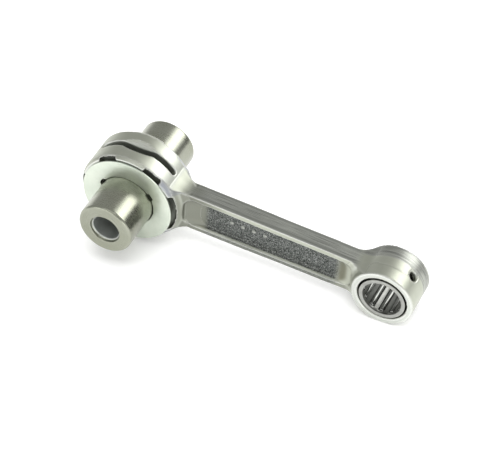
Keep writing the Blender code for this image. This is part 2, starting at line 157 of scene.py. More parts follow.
# %% From a shape to an object, and Booleans between shapes
def solid(name, shape):
    """An object in the rod's frame, in millimetres, with its faces turned outwards."""
    points, faces = shape
    work = bmesh.new()
    corners = [work.verts.new(point) for point in points]
    for face in faces:
        work.faces.new([corners[index] for index in face])
    bmesh.ops.recalc_face_normals(work, faces=work.faces)
    mesh = bpy.data.meshes.new(name)
    work.to_mesh(mesh)
    work.free()
    item = bpy.data.objects.new(name, mesh)
    bpy.context.scene.collection.objects.link(item)
    return item


def settled(item):
    """The object's modifiers made real, as a plain mesh on the same object."""
    bpy.context.view_layer.update()
    graph = bpy.context.evaluated_depsgraph_get()
    mesh = bpy.data.meshes.new_from_object(item.evaluated_get(graph))
    item.modifiers.clear()
    item.data = mesh
    mesh.name = item.name
    return item


def combined(item, others, operation):
    """One Boolean per other solid, made real, and the other solids removed."""
    for other in others:
        step = item.modifiers.new(other.name, "BOOLEAN")
        step.operation = operation
        step.object = other
        step.solver = "EXACT"
    settled(item)
    for other in others:
        bpy.data.objects.remove(other)
    return item


def finished(item, body, node, slot, material):
    """Puts a finished piece in its place, on its body, in the place of its plain solid."""
    item.data.transform(TO_PLACE)
    item.data.materials.clear()
    item.data.materials.append(material)
    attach(item, body)
    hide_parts(node)
    return item


print("made for every piece:", solid.__name__, combined.__name__, finished.__name__)

# %% [markdown]
# ## The rod's outline
#
# A rod like this is drop forged between two dies, so its outline comes first: two eyes joined by a beam
# that tapers to the small end, with a large fillet at each eye. The fillets are arcs that touch both the
# eye and the beam's edge, and their centres follow from that. The flanges keep a low crown: a flat strip
# in the middle where the flash was ground off, with a slope to each side.

# %% Beam and fillet sizes
BEAM_HALF_THICKNESS = 3.7
BEAM_HALF_HEIGHT_BIG = 8.75
BEAM_HALF_HEIGHT_SMALL = 7.95
BIG_FILLET_RADIUS = 12.0
SMALL_FILLET_RADIUS = 10.0
CROWN_HEIGHT = 0.4
CROWN_HALF_WIDTH = 2.0
CROWN_RISE = (17.0, 27.0)
CROWN_FALL = (CENTRE_DISTANCE - 20.0, CENTRE_DISTANCE - 9.0)
EYE_STRIP_HEIGHT = 0.12
BLANK_HALF_WIDTH = 9.5
ARC_STEP = 2.0
FILLET_STEPS = 18


def beam_edge(x):
    """Half height of the beam, a straight taper between the two fillets."""
    share = (x - BIG_FILLET_RADIUS * 2) / (CENTRE_DISTANCE - BIG_FILLET_RADIUS * 3)
    return BEAM_HALF_HEIGHT_BIG + (BEAM_HALF_HEIGHT_SMALL - BEAM_HALF_HEIGHT_BIG) * share


def fillet_centre(eye_radius, eye_x, fillet_radius, side):
    """Centre of the fillet that touches an eye and the beam's edge; side is +1 or -1."""
    x = eye_x + side * eye_radius
    for _ in range(20):
        z = beam_edge(x) + fillet_radius
        x = eye_x + side * math.sqrt((eye_radius + fillet_radius) ** 2 - z ** 2)
    return x, z


print("half height halfway along the beam:", round(beam_edge(CENTRE_DISTANCE / 2), 2), "mm")

# %% The upper edge, from the big end's far side to the small end's
def arc(centre, radius, start, end, steps):
    """Points (x, z) on an arc, ends included."""
    turn = (end - start) / steps
    circle = (polar(radius, start + turn * k) for k in range(steps + 1))
    return [(centre[0] + x, centre[1] + z) for x, _, z in circle]


def upper_outline():
    big = fillet_centre(BIG_EYE_RADIUS, 0.0, BIG_FILLET_RADIUS, 1)
    small = fillet_centre(SMALL_EYE_RADIUS, CENTRE_DISTANCE, SMALL_FILLET_RADIUS, -1)
    big_touch = math.degrees(math.atan2(big[1], big[0]))
    small_touch = math.degrees(math.atan2(small[1], small[0] - CENTRE_DISTANCE))
    big_steps = int((180.0 - big_touch) / ARC_STEP)
    small_steps = int(small_touch / ARC_STEP)
    big_arc = arc((0.0, 0.0), BIG_EYE_RADIUS, 180.0, big_touch + ARC_STEP, big_steps)
    fillet_in = arc(big, BIG_FILLET_RADIUS, 180.0 + big_touch, 270.0, FILLET_STEPS)
    fillet_out = arc(small, SMALL_FILLET_RADIUS, 270.0, 180.0 + small_touch, FILLET_STEPS)
    small_arc = arc((CENTRE_DISTANCE, 0.0), SMALL_EYE_RADIUS, small_touch - ARC_STEP, 0.0, small_steps)
    return big_arc + fillet_in + fillet_out + small_arc


print("points along the upper edge:", len(upper_outline()))


# %% The blank: the outline at six places across the rod
def ramp(value, start, end):
    """0 before start, 1 after end, a straight rise between."""
    return max(0.0, min(1.0, (value - start) / (end - start)))


def crown_at(x):
    """Height of the middle strip at x: none on the big eye, full along the beam, low on the small eye."""
    on_beam = ramp(x, *CROWN_RISE)
    on_eye = ramp(x, *CROWN_FALL)
    return on_beam * (CROWN_HEIGHT * (1.0 - on_eye) + EYE_STRIP_HEIGHT * on_eye)


def rod_blank():
    """The outline made solid. The small eye has no strip below, where the rod stands on it."""
    edge = upper_outline()
    rings = []
    half_widths = (BLANK_HALF_WIDTH, BEAM_HALF_THICKNESS, CROWN_HALF_WIDTH)
    for y in [-half for half in half_widths] + list(reversed(half_widths)):
        crowned = abs(y) == CROWN_HALF_WIDTH
        lift = [crown_at(x) if crowned else 0.0 for x, _ in edge]
        top = [(x, y, z + up) for (x, z), up in zip(edge, lift)]
        bottom = [(x, y, -z - (up if x < CROWN_FALL[1] else 0.0)) for (x, z), up in zip(edge, lift)]
        rings.append(top + bottom[-2:0:-1])
    return stacked(rings)


print("points of the blank:", len(rod_blank()[0]))

# %% [markdown]
# ## How thick the rod is
#
# Seen from above, the rod is thick at its eyes and thin along the beam. The outline, made full width, is
# therefore cut down to an envelope: a flat slab for the beam and a turned body for each eye. The turned
# profile holds the thrust land, the rim's chamfer and the cone that runs down to the beam.

# %% The eyes' turned envelopes and the beam's slab
BIG_EYE_HALF_WIDTH = 8.5
SMALL_EYE_HALF_WIDTH = 8.36
BIG_END_SHIFT = -0.4
BIG_LAND_RADIUS = 19.2
BIG_RIM_HALF_WIDTH = 7.13
SMALL_EDGE = 0.3
SLAB_START = 5.0
SLAB_HALF_HEIGHT = 28.0
big_profile = [(BIG_LAND_RADIUS, BIG_EYE_HALF_WIDTH), (BIG_EYE_RADIUS, BIG_RIM_HALF_WIDTH),
               (20.8, 5.7), (22.0, 4.4), (24.5, 3.3)]
small_profile = [(SMALL_EYE_RADIUS - SMALL_EDGE, SMALL_EYE_HALF_WIDTH),
                 (SMALL_EYE_RADIUS, SMALL_EYE_HALF_WIDTH - SMALL_EDGE),
                 (13.1, 6.6), (14.2, 5.3), (15.8, 4.3), (18.0, 3.5)]


def eye_envelope(profile, centre):
    upper = [(0.0, profile[0][1])] + profile
    lower = [(radius, -y) for radius, y in reversed(upper)]
    return turned(upper + lower, int(360 / ARC_STEP), centre)


def at_big_end(shape, shift=BIG_END_SHIFT):
    """The shape moved to the big end, which stands a little to the front of the beam."""
    points, faces = shape
    return [(x, y + shift, z) for x, y, z in points], faces


def beam_slab():
    start, end, half = SLAB_START, CENTRE_DISTANCE, SLAB_HALF_HEIGHT
    outline = [(start, -half), (end, -half), (end, half), (start, half)]
    return prism(outline, -BEAM_HALF_THICKNESS, BEAM_HALF_THICKNESS)


rod = solid("rod_forging", rod_blank())
envelope = solid("envelope", beam_slab())
eyes = [solid("big_envelope", at_big_end(eye_envelope(big_profile, 0.0))),
        solid("small_envelope", eye_envelope(small_profile, CENTRE_DISTANCE))]
combined(envelope, eyes, "UNION")
combined(rod, [envelope], "INTERSECT")
print("rod blank faces:", len(rod.data.polygons))

# %% [markdown]
# ## The recess in the beam
#
# Both sides of the beam are hollowed, which leaves an I section: a thin web between two flanges. The die
# gives the recess leaning walls and rounded ends. The cutter is three outlines of the same rounded slot,
# one at the web, one at the flange's face and one outside, each a little larger than the last.

# %% The recess cutter
WEB_HALF_THICKNESS = 1.8
POCKET_START, POCKET_END = 21.6, 91.0
POCKET_FLANGE = 2.1
POCKET_CORNER = 3.6
POCKET_WALL_LEAN = 0.35
POCKET_END_LEAN = 3.4
POCKET_MOUTH_GROWTH = 0.3


def pocket_outline(y, shrink, end_shrink):
    start, end, corner = POCKET_START + end_shrink, POCKET_END - end_shrink, POCKET_CORNER
    left = arc((start + corner, 0.0), corner, 180.0, 90.0, 8)
    right = arc((end - corner, 0.0), corner, 90.0, 0.0, 8)
    inset = POCKET_FLANGE + shrink + corner
    upper = [(x, y, z + beam_edge(x) - inset) for x, z in left + right]
    return upper + [(x, y, -z) for x, _, z in reversed(upper)]


def web_pocket():
    depth = BEAM_HALF_THICKNESS - WEB_HALF_THICKNESS
    above = 2.5
    floor = pocket_outline(-WEB_HALF_THICKNESS, POCKET_WALL_LEAN * depth, POCKET_END_LEAN * depth)
    rim = pocket_outline(-BEAM_HALF_THICKNESS, 0.0, 0.0)
    mouth = pocket_outline(-BEAM_HALF_THICKNESS - above, -POCKET_WALL_LEAN * above, -POCKET_MOUTH_GROWTH)
    return stacked([floor, rim, mouth])


print("points of the recess cutter:", len(web_pocket()[0]))

# %% [markdown]
# ## Oil grooves, slots and holes
#
# The big end has no oil feed of its own. It lives on the mist in the crankcase, so its thrust faces have
# radial grooves, the beam's root has a deeper pocket, and a long slot runs through the rim with a lens
# shaped scoop over it. The small end has a hole to each side, with a countersink.

# %% Cutters of the grooves, the root pocket and the shoulder
CUT_REACH = 12.0
GROOVE_START = 10.0
GROOVE_HALF_WIDTH = 3.85
GROOVE_DEPTH = 2.1
GROOVE_WALL_RADIUS = 19.55
GROOVE_ANGLES = (60.0, 120.0, 180.0, 240.0, 300.0)
ROOT_POCKET_START = 11.0
ROOT_POCKET_HALF_HEIGHT = 8.6
ROOT_POCKET_DEPTH = 3.5
ROOT_WALL_RADIUS = 19.8
SHOULDER_SLOPES = (0.95, 0.85)
SHOULDER_TOP = (16.9, 8.7)
SHOULDER_OUTLINE = ((9.5, 17.6), (15.6, 8.6), (24.0, 8.6), (24.0, 20.0), (12.5, 20.0))


def sector(start_x, half, wall_radius):
    """A strip along +X from start_x to a round end wall, as (x, z) points."""
    reach = math.degrees(math.asin(half / wall_radius))
    return arc((0.0, 0.0), wall_radius, -reach, reach, 16) + [(start_x, half), (start_x, -half)]


def face_grooves():
    strip = sector(GROOVE_START, GROOVE_HALF_WIDTH, GROOVE_WALL_RADIUS)
    shapes = []
    for angle in GROOVE_ANGLES:
        turn = Matrix.Rotation(math.radians(angle), 2)
        outline = [tuple(turn @ Vector(point)) for point in strip]
        shapes.append(prism(outline, GROOVE_DEPTH - BIG_EYE_HALF_WIDTH, -CUT_REACH))
    return joined(shapes)


def root_pocket():
    outline = sector(ROOT_POCKET_START, ROOT_POCKET_HALF_HEIGHT, ROOT_WALL_RADIUS)
    return prism(outline, ROOT_POCKET_DEPTH - BIG_EYE_HALF_WIDTH, -CUT_REACH)


def shoulder_facet():
    """A slanted facet between the thrust land and the neck."""
    facet = []
    for x, z in SHOULDER_OUTLINE:
        fall = SHOULDER_SLOPES[0] * (x - SHOULDER_TOP[0]) + SHOULDER_SLOPES[1] * (z - SHOULDER_TOP[1])
        facet.append((x, fall - BIG_EYE_HALF_WIDTH, z))
    return stacked([facet, [(x, -CUT_REACH, z) for x, z in SHOULDER_OUTLINE]])


print("faces of the groove cutter:", len(face_grooves()[1]))

# %% Cutters of the slot and its scoop
SLOT_SHIFT = -0.15
SLOT_HALF_WIDTH = 1.28
SLOT_START, SLOT_END = 40.5, 143.0
SLOT_INNER, SLOT_OUTER = 13.0, 23.0
SLOT_END_STEPS, SLOT_STEPS = 8, 48
SLOT_LEAST_SHARE = 0.08
SCOOP_CENTRE, SCOOP_HALF_ANGLE = 91.0, 21.5
SCOOP_HALF_WIDTH = 3.1
SCOOP_SLOPE = 1.05
SCOOP_ABOVE = 1.5
SCOOP_STEPS = 32


def slot_stations():
    """Angles along the slot, each with its share of the full width; the ends are half circles."""
    end_turn = SLOT_HALF_WIDTH * (180.0 / math.pi / BIG_EYE_RADIUS)
    first = []
    for k in range(SLOT_END_STEPS + 1):
        lead = math.cos(math.pi / 2 * k / SLOT_END_STEPS)
        share = max(SLOT_LEAST_SHARE, math.sqrt(1.0 - lead ** 2))
        first.append((SLOT_START + end_turn * (1.0 - lead), share))
    straight = SLOT_END - SLOT_START - 2 * end_turn
    middle = [(SLOT_START + end_turn + straight * k / SLOT_STEPS, 1.0) for k in range(1, SLOT_STEPS)]
    last = [(SLOT_START + SLOT_END - angle, share) for angle, share in reversed(first)]
    return first + middle + last


def rim_slot():
    """A slot that follows the rim."""
    rings = []
    for angle, share in slot_stations():
        half = SLOT_HALF_WIDTH * share
        corners = ((SLOT_INNER, -half), (SLOT_INNER, half), (SLOT_OUTER, half), (SLOT_OUTER, -half))
        rings.append([polar(radius, angle, y) for radius, y in corners])
    return stacked(rings)


def rim_scoop():
    """A lens of two facets over the slot: a parabola's width, with a depth that goes with it."""
    rings = []
    narrow = SLOT_HALF_WIDTH * 0.8
    top = BIG_EYE_RADIUS + SCOOP_ABOVE
    for k in range(SCOOP_STEPS + 1):
        share = 2.0 * k / SCOOP_STEPS - 1.0
        angle = SCOOP_CENTRE + SCOOP_HALF_ANGLE * share
        half = narrow + 0.04 + (SCOOP_HALF_WIDTH - narrow) * (1.0 - share ** 2)
        bottom = BIG_EYE_RADIUS - (half - narrow) * SCOOP_SLOPE
        wide = half + SCOOP_ABOVE / SCOOP_SLOPE
        corners = ((bottom, -narrow), (bottom, narrow), (top, wide), (top, -wide))
        rings.append([polar(radius, angle, y) for radius, y in corners])
    return stacked(rings)


print("slot and scoop rings:", len(slot_stations()), SCOOP_STEPS + 1)

# %% Cutter of an oil hole
OIL_HOLE_RADIUS = 1.7
OIL_COUNTERSINK_RADIUS = 2.5
OIL_HOLE_ANGLES = (47.0, -47.0)
OIL_HOLE_INNER, OIL_HOLE_OUTER = 8.0, 15.0
OIL_HOLE_SIDES = 32


def oil_hole(angle):
    """A round hole along one radius of the small eye, with a cone at the outside."""
    sink = OIL_COUNTERSINK_RADIUS - OIL_HOLE_RADIUS
    beyond = 0.5
    flare = OIL_COUNTERSINK_RADIUS + beyond
    profile = ((OIL_HOLE_RADIUS, OIL_HOLE_INNER), (OIL_HOLE_RADIUS, SMALL_EYE_RADIUS - sink),
               (flare, SMALL_EYE_RADIUS + beyond), (flare, OIL_HOLE_OUTER))
    along, across = polar(1.0, angle), polar(1.0, angle + 90.0)
    rings = []
    for radius, distance in profile:
        ring = []
        for turn in np.linspace(0, math.tau, OIL_HOLE_SIDES + 1)[:-1]:
            y, w = radius * math.cos(turn), radius * math.sin(turn)
            x = CENTRE_DISTANCE + along[0] * distance + across[0] * w
            ring.append((x, y, along[2] * distance + across[2] * w))
        rings.append(ring)
    return stacked(rings)


print("faces of an oil hole cutter:", len(oil_hole(0.0)[1]))

# %% Cut the rod
BIG_BORE_RADIUS = 14.5
SMALL_BORE_RADIUS = 9.91
BORE_BREAK = 0.35


def bore_cutter(radius, half_width, centre):
    """A through bore whose edges are broken by a small chamfer."""
    beyond = 0.4
    mouth = radius + BORE_BREAK + beyond
    upper = [(radius, half_width - BORE_BREAK), (mouth, half_width + beyond),
             (mouth, CUT_REACH), (0.0, CUT_REACH)]
    return turned(upper + [(r, -y) for r, y in reversed(upper)], int(360 / ARC_STEP), centre)


shoulders = [shoulder_facet(), flipped(shoulder_facet(), 2)]
cutters = {
    "big_bore": at_big_end(bore_cutter(BIG_BORE_RADIUS, BIG_EYE_HALF_WIDTH, 0.0)),
    "small_bore": bore_cutter(SMALL_BORE_RADIUS, SMALL_EYE_HALF_WIDTH, CENTRE_DISTANCE),
    "pockets": joined([web_pocket(), flipped(web_pocket(), 1)]),
    "grooves": at_big_end(joined([face_grooves(), flipped(face_grooves(), 1)])),
    "roots": at_big_end(joined([root_pocket(), flipped(root_pocket(), 1)])),
    "shoulders": at_big_end(joined(shoulders + [flipped(shape, 1) for shape in shoulders])),
    "slots": at_big_end(joined([rim_slot(), flipped(rim_slot(), 2)]), SLOT_SHIFT),
    "scoops": at_big_end(joined([rim_scoop(), flipped(rim_scoop(), 2)]), SLOT_SHIFT),
    "oil_holes": joined([oil_hole(angle) for angle in OIL_HOLE_ANGLES]),
}
combined(rod, [solid(name, shape) for name, shape in cutters.items()], "DIFFERENCE")
print("rod faces after cutting:", len(rod.data.polygons))

# %% [markdown]
# ## Soften the forging
#
# No edge on a forged and tumbled part is sharp. A Bevel modifier would have to sort out hundreds of short
# edges where the cuts meet, so the solid is remeshed to small even squares instead and smoothed, which
# rounds each edge by about the size of a square. The machined faces and bores are then true again: a
# point that lies close to one of them is put back onto it.

# %% Remesh, smooth and true up the machined faces
REMESH_SIZE = 0.4
SMOOTH_PASSES = 3
TRUE_WITHIN = 0.09


def remeshed(item, size):
    step = item.modifiers.new("remesh", "REMESH")
    step.mode = "VOXEL"
    step.voxel_size = size
    step.use_smooth_shade = True
    smooth = item.modifiers.new("smooth", "SMOOTH")
    smooth.factor = 0.5
    smooth.iterations = SMOOTH_PASSES
    return settled(item)


def points_of(item):
    values = np.empty(len(item.data.vertices) * 3)
    item.data.vertices.foreach_get("co", values)
    return values.reshape(-1, 3)


def true_up_flats(points):
    """Puts points that lie close to a flat face left by a cutter exactly onto it."""
    for half_width, middle in ((BIG_EYE_HALF_WIDTH, BIG_END_SHIFT), (SMALL_EYE_HALF_WIDTH, 0.0),
                               (BEAM_HALF_THICKNESS, 0.0), (WEB_HALF_THICKNESS, 0.0)):
        away = points[:, 1] - middle
        near = np.abs(np.abs(away) - half_width) < TRUE_WITHIN
        points[near, 1] = middle + np.sign(away[near]) * half_width
    return points


def true_up_rounds(points):
    """The same for the bores and the rims, which are round about the two bearing axes."""
    for radius, centre in ((BIG_BORE_RADIUS, 0.0), (BIG_EYE_RADIUS, 0.0),
                           (SMALL_BORE_RADIUS, CENTRE_DISTANCE), (SMALL_EYE_RADIUS, CENTRE_DISTANCE)):
        away = points[:, [0, 2]] - np.array([centre, 0.0])
        distance = np.hypot(away[:, 0], away[:, 1])
        near = np.abs(distance - radius) < TRUE_WITHIN
        points[near, 0] = centre + away[near, 0] * radius / distance[near]
        points[near, 2] = away[near, 1] * radius / distance[near]
    return points


remeshed(rod, REMESH_SIZE)
rod_points = true_up_rounds(true_up_flats(points_of(rod)))
rod.data.vertices.foreach_set("co", rod_points.ravel())
rod.data.update()
rod.data.calc_loop_triangles()
print("rod triangles:", len(rod.data.loop_triangles))

# %% [markdown]
# ## Say what each surface is
#
# One piece of steel carries several finishes: blasted in the recess, ground along the flanges, turned on
# the faces. The shader can't know which is which, so the mesh tells it. Every point gets a few numbers:
# `grain`, a place that is stretched along the tool's path, so that one noise makes the tool marks run the
# right way everywhere; `edge` and `hollow`, from how the surface bends, for a painted highlight on edges
# and painted shade in hollows; and a share of each finish, some of which are painted shade or highlight.

# %% Numbers on the points
GRAIN_FINE = 5.0
GRAIN_LONG = 0.12


def normals_of(item):
    values = np.empty(len(item.data.vertices) * 3)
    item.data.vertices.foreach_get("normal", values)
    return values.reshape(-1, 3)


def write_number(item, name, values):
    attribute = item.data.attributes.new(name, "FLOAT", "POINT")
    attribute.data.foreach_set("value", np.asarray(values, np.float32).ravel())


def write_vector(item, name, values):
    attribute = item.data.attributes.new(name, "FLOAT_VECTOR", "POINT")
    attribute.data.foreach_set("vector", np.asarray(values, np.float32).ravel())


def rise(values, start, end):
    """0 before start, 1 after end, smooth between; start may be the larger one."""
    share = np.clip((values - start) / (end - start), 0.0, 1.0)
    return share * share * (3.0 - 2.0 * share)


def mark_bends(item, full_bend):
    """Writes edge and hollow: how far a point stands out of, or lies below, its neighbours; the finishes
    paint a highlight on edges and shade in hollows by them.
    """
    points, normals = points_of(item), normals_of(item)
    pairs = np.empty(len(item.data.edges) * 2, np.int64)
    item.data.edges.foreach_get("vertices", pairs)
    pairs = pairs.reshape(-1, 2)
    total, count = np.zeros_like(points), np.zeros(len(points))
    for here, there in ((0, 1), (1, 0)):
        np.add.at(total, pairs[:, here], points[pairs[:, there]])
        np.add.at(count, pairs[:, here], 1.0)
    bend = -np.einsum("ij,ij->i", total / count[:, None] - points, normals) / full_bend
    write_number(item, "edge", np.clip(bend, 0.0, 1.0))
    write_number(item, "hollow", np.clip(-bend, 0.0, 1.0))


def mark_turned(item, centre=0.0, centre_z=0.0):
    """Writes the grain of a turned piece: fine across the tool's path, long round the axis."""
    points, normals = points_of(item), normals_of(item)
    x, z = points[:, 0] - centre, points[:, 2] - centre_z
    on_face = rise(np.abs(normals[:, 1]), 0.6, 0.8)
    across = np.hypot(x, z) * on_face + points[:, 1] * (1.0 - on_face)
    write_vector(item, "grain", np.stack([x * GRAIN_LONG, across * GRAIN_FINE, z * GRAIN_LONG], axis=1))


print("halfway up a rise:", rise(0.5, 0.0, 1.0))

# %% The rod's own finishes
# A run is where a finish, a painted shade or a painted highlight lies along X: it fades in over the first
# pair and out over the second. The pairs given to rise are millimetres too, apart from those for lean, the
# part of the normal that lies along Y.
BEAM_RUN = ((20.0, 26.0), (94.0, 90.0))
# The recess's blasted run also bounds the near black painted shade in it.
BLASTED_RUN = ((28.5, 31.5), (86.5, 83.0))
# A painted highlight on the right part of the big eye's rim and its neck.
RIM_HIGHLIGHT_RUN = ((5.0, 12.0), (19.0, 16.0))
# Painted blue-grey shade on the shoulders beside the big eye.
SHOULDER_RUN = ((8.5, 11.0), (25.0, 22.0))
# Painted shade at the root, on the neck's top and on the lower flange's face.
ROOT_RUN = ((17.5, 19.5), (40.0, 28.0))
NECK_RUN = ((16.0, 19.0), (30.0, 25.0))
LOW_FLANGE_RUN = ((22.0, 27.0), (92.0, 88.0))


def along_run(x, run):
    return rise(x, *run[0]) * rise(x, *run[1])


def mark_rod_grain(item, faces_side):
    """The grain runs along the beam and round the eyes."""
    x, y, z = points_of(item).T
    on_beam = along_run(x, BEAM_RUN)
    from_small = np.hypot(x - CENTRE_DISTANCE, z)
    radius = np.where(x > CENTRE_DISTANCE / 2, from_small, np.hypot(x, z))
    across = np.where(faces_side > 0.5, radius * (1.0 - on_beam) + np.abs(z) * on_beam, y)
    grain = np.stack([x * GRAIN_LONG * 0.6, across * GRAIN_FINE, z * GRAIN_LONG * (1.0 - on_beam)], axis=1)
    write_vector(item, "grain", grain)


def beam_shares(x, side, z, faces_side):
    """Recess blasted and painted dark as shade, swept clean near its ends; flanges ground; painted shade on
    slopes, root, lower flange and neck.
    """
    on_beam = along_run(x, BEAM_RUN)
    in_pocket = rise(side, 3.3, 2.6) * on_beam * rise(np.abs(z), 8.0, 7.4)
    # The lower flange's face gets the recess's dark colour, a painted shade.
    low_face_shade = 0.6 * faces_side * on_beam * rise(-z, 5.4, 6.2)
    ground = on_beam * (1.0 - faces_side) * rise(np.abs(z), 7.0, 7.6)
    # Painted shade: darker on the lower flange, at the root of the beam and on the neck's top.
    low_flange_shade = rise(-z, 5.2, 6.0) * along_run(x, LOW_FLANGE_RUN)
    root_and_flange_shade = faces_side * np.maximum(along_run(x, ROOT_RUN), 0.8 * low_flange_shade)
    neck_shade = 0.55 * along_run(x, NECK_RUN) * (1.0 - faces_side)
    # The recess's share: blasted texture, and a near black painted shade in its colour.
    return {"blasted": np.maximum(in_pocket, low_face_shade) * along_run(x, BLASTED_RUN),
            "swept": in_pocket * np.maximum(rise(x, 31.5, 28.5), rise(x, 83.0, 86.5)),
            "ground": ground,
            # The slopes beside the crown's strip are painted darker, a painted shade.
            "slope": ground * rise(side, 1.8, 2.2) * rise(side, 3.6, 3.3),
            "dull": np.maximum(root_and_flange_shade, neck_shade)}


def mark_rod(item):
    x, y, z = points_of(item).T
    side, lean = np.abs(y), np.abs(normals_of(item)[:, 1])
    faces_side = rise(lean, 0.6, 0.8)
    shares = beam_shares(x, side, z, faces_side)
    outside_small = rise(x, 90.0, 94.0) * rise(np.hypot(x - CENTRE_DISTANCE, z), 11.6, 12.1)
    ground_rear = outside_small * rise(y, 1.8, 2.2) * (1.0 - faces_side)
    shares["ground"] = np.maximum(shares["ground"], ground_rear)
    # Painted highlight: the right part of the big eye's rim and neck takes the pale machined colour.
    rim_highlight = rise(np.abs(np.hypot(x, z) - BIG_EYE_RADIUS), 0.5, 0.2) * along_run(x, RIM_HIGHLIGHT_RUN)
    on_eyes = 1.0 - along_run(x, BEAM_RUN)
    shares["machined"] = np.maximum(faces_side * on_eyes, 0.55 * rim_highlight)
    # Painted shade: a blue-grey tone on the slanted shoulders beside the big eye.
    leaning = rise(lean, 0.22, 0.34) * rise(lean, 0.97, 0.9)
    beside_land = rise(np.abs(z), 8.6, 9.1) * rise(side, 3.8, 4.4)
    shares["shoulder"] = leaning * along_run(x, SHOULDER_RUN) * beside_land
    for name, values in shares.items():
        write_number(item, name, values)
    mark_rod_grain(item, faces_side)
    mark_bends(item, 0.09)
    return sorted(shares)


ROD_SHARES = mark_rod(rod)
print("shares on the rod:", ROD_SHARES)

# %% [markdown]
# ## The crank pin
#
# The pin is a hardened, centreless ground tube, pressed into both crank webs. It is a plain lathe job: a
# profile with a rounded outer edge, and a counterbored mouth whose two edges show as thin bright rings.

# %% Turn the crank pin
PIN_BORE_RADIUS = 5.36
PIN_MOUTH_RADIUS = 6.1
PIN_EDGE = 1.1
ROUND_STEPS = 6


def corner(radius, half, size, steps=ROUND_STEPS):
    """A rounded outer corner of a profile, from the end face to the outside."""
    turns = (math.pi / 2 * k / steps for k in range(steps + 1))
    return [(radius - size + size * math.sin(turn), half - size + size * math.cos(turn)) for turn in turns]


def both_ends(upper):
    return upper + [(radius, -y) for radius, y in reversed(upper)]


def pin_profile():
    half = PIN_HALF_LENGTH
    bore = [(PIN_BORE_RADIUS, 4.0), (PIN_BORE_RADIUS, half - 1.6), (PIN_BORE_RADIUS + 0.06, half - 1.3)]
    lip = [(PIN_BORE_RADIUS + 0.2, half - 1.12), (PIN_BORE_RADIUS + 0.42, half - 1.1)]
    mouth = [(PIN_MOUTH_RADIUS - 0.25, half - 1.0), (PIN_MOUTH_RADIUS - 0.02, half - 0.8),
             (PIN_MOUTH_RADIUS, half - 0.3), (PIN_MOUTH_RADIUS + 0.09, half - 0.09),
             (PIN_MOUTH_RADIUS + 0.3, half)]
    face = [(PIN_MOUTH_RADIUS + 0.6, half), (PIN_RADIUS - PIN_EDGE - 0.2, half)]
    body = [(PIN_RADIUS, half - PIN_EDGE - 0.3), (PIN_RADIUS, 4.0)]
    return both_ends(bore + lip + mouth + face + corner(PIN_RADIUS, half, PIN_EDGE) + body)


pin = solid("pin_hollow", turned(pin_profile(), 160))
pin.data.transform(Matrix.Translation((0.0, PIN_SHIFT, 0.0)))
pin.data.shade_smooth()
mark_turned(pin)
mark_bends(pin, 0.12)
write_number(pin, "inside", rise(np.hypot(*points_of(pin)[:, [0, 2]].T), 6.0, 5.4))
print("pin faces:", len(pin.data.polygons))

# %% [markdown]
# ## The thrust washers
#
# Each washer keeps the big eye off a crank web. It is pressed from strip and silver plated, with three
# notches in its hole that let oil in behind it. The outline of the hole is a rule: one radius, and a
# larger one within a notch. A washer hangs on the pin, so it stands a little low.

# %% Press the washers
washer_low, washer_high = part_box("thrust_washer_front")
WASHER_RADIUS = {"front": 18.68, "rear": 17.7}
WASHER_HALF_THICKNESS = (washer_high.y - washer_low.y) / 2 / MM
WASHER_HOLE_RADIUS = 11.3
NOTCH_RADIUS = 12.2
NOTCH_ANGLES = (34.0, 154.0, 274.0)
NOTCH_HALF_ANGLE = 7.0
NOTCH_RUN = 2.5
WASHER_STEP = 1.25
WASHER_EDGE = 0.12
WASHER_DROP = 0.2


def hole_radius(degrees):
    away = min(abs((degrees - notch + 180.0) % 360.0 - 180.0) for notch in NOTCH_ANGLES)
    out_of_notch = ramp(away, NOTCH_HALF_ANGLE, NOTCH_HALF_ANGLE + NOTCH_RUN)
    return NOTCH_RADIUS + (WASHER_HOLE_RADIUS - NOTCH_RADIUS) * out_of_notch


def washer_shape(rim_radius):
    angles = [WASHER_STEP * k for k in range(int(360 / WASHER_STEP))]
    half = WASHER_HALF_THICKNESS
    rings = []
    for at_hole, y in ((True, -half), (True, half), (False, half), (False, -half)):
        rings.append([polar(hole_radius(a) if at_hole else rim_radius, a, y) for a in angles])
    points, faces = stacked(rings)
    count = len(angles)
    last = len(points) - count
    closing = [(k, (k + 1) % count, last + (k + 1) % count, last + k) for k in range(count)]
    return points, faces[2:] + closing


def broken_edges(item, width, segments=2, angle=40.0):
    """Small rounded edges where two faces meet sharply."""
    step = item.modifiers.new("edges", "BEVEL")
    step.width = width
    step.segments = segments
    step.limit_method = "ANGLE"
    step.angle_limit = math.radians(angle)
    settled(item)
    item.data.shade_smooth()
    item.data.set_sharp_from_angle(angle=math.radians(50))
    return item


def make_washer(end):
    washer = broken_edges(solid("washer_" + end, washer_shape(WASHER_RADIUS[end])), WASHER_EDGE)
    place_y = (box_centre("thrust_washer_" + end).y - ROD_MIDDLE_Y) / MM
    washer.data.transform(Matrix.Translation((0.0, place_y, -WASHER_DROP)))
    mark_turned(washer)
    mark_bends(washer, 0.15)
    return washer


washers = {end: make_washer(end) for end in ("front", "rear")}
print("washer thickness:", round(WASHER_HALF_THICKNESS * 2, 2), "mm")

# %% [markdown]
# ## The needle cages
#
# A cage is a steel ring with a window for each needle. It could be cut from a tube with a dozen Booleans,
# but a ring with windows is a grid bent round an axis, so it is built as one: cells that are there make
# faces inside and outside, and a cell next to a missing one makes a wall.

# %% Build a cage from a grid of cells
def cage_grid(count, half_angle):
    """The columns' angles, and whether each column lies in a window."""
    pitch = 360.0 / count
    angles, open_column = [], []
    for k in range(count):
        for step in range(4):
            angles.append(pitch * k + half_angle * (step / 2 - 1.0))
            open_column.append(True)
        bar = pitch - 2 * half_angle
        for step in range(3):
            angles.append(pitch * k + half_angle + bar * step / 3)
            open_column.append(False)
    return angles, open_column


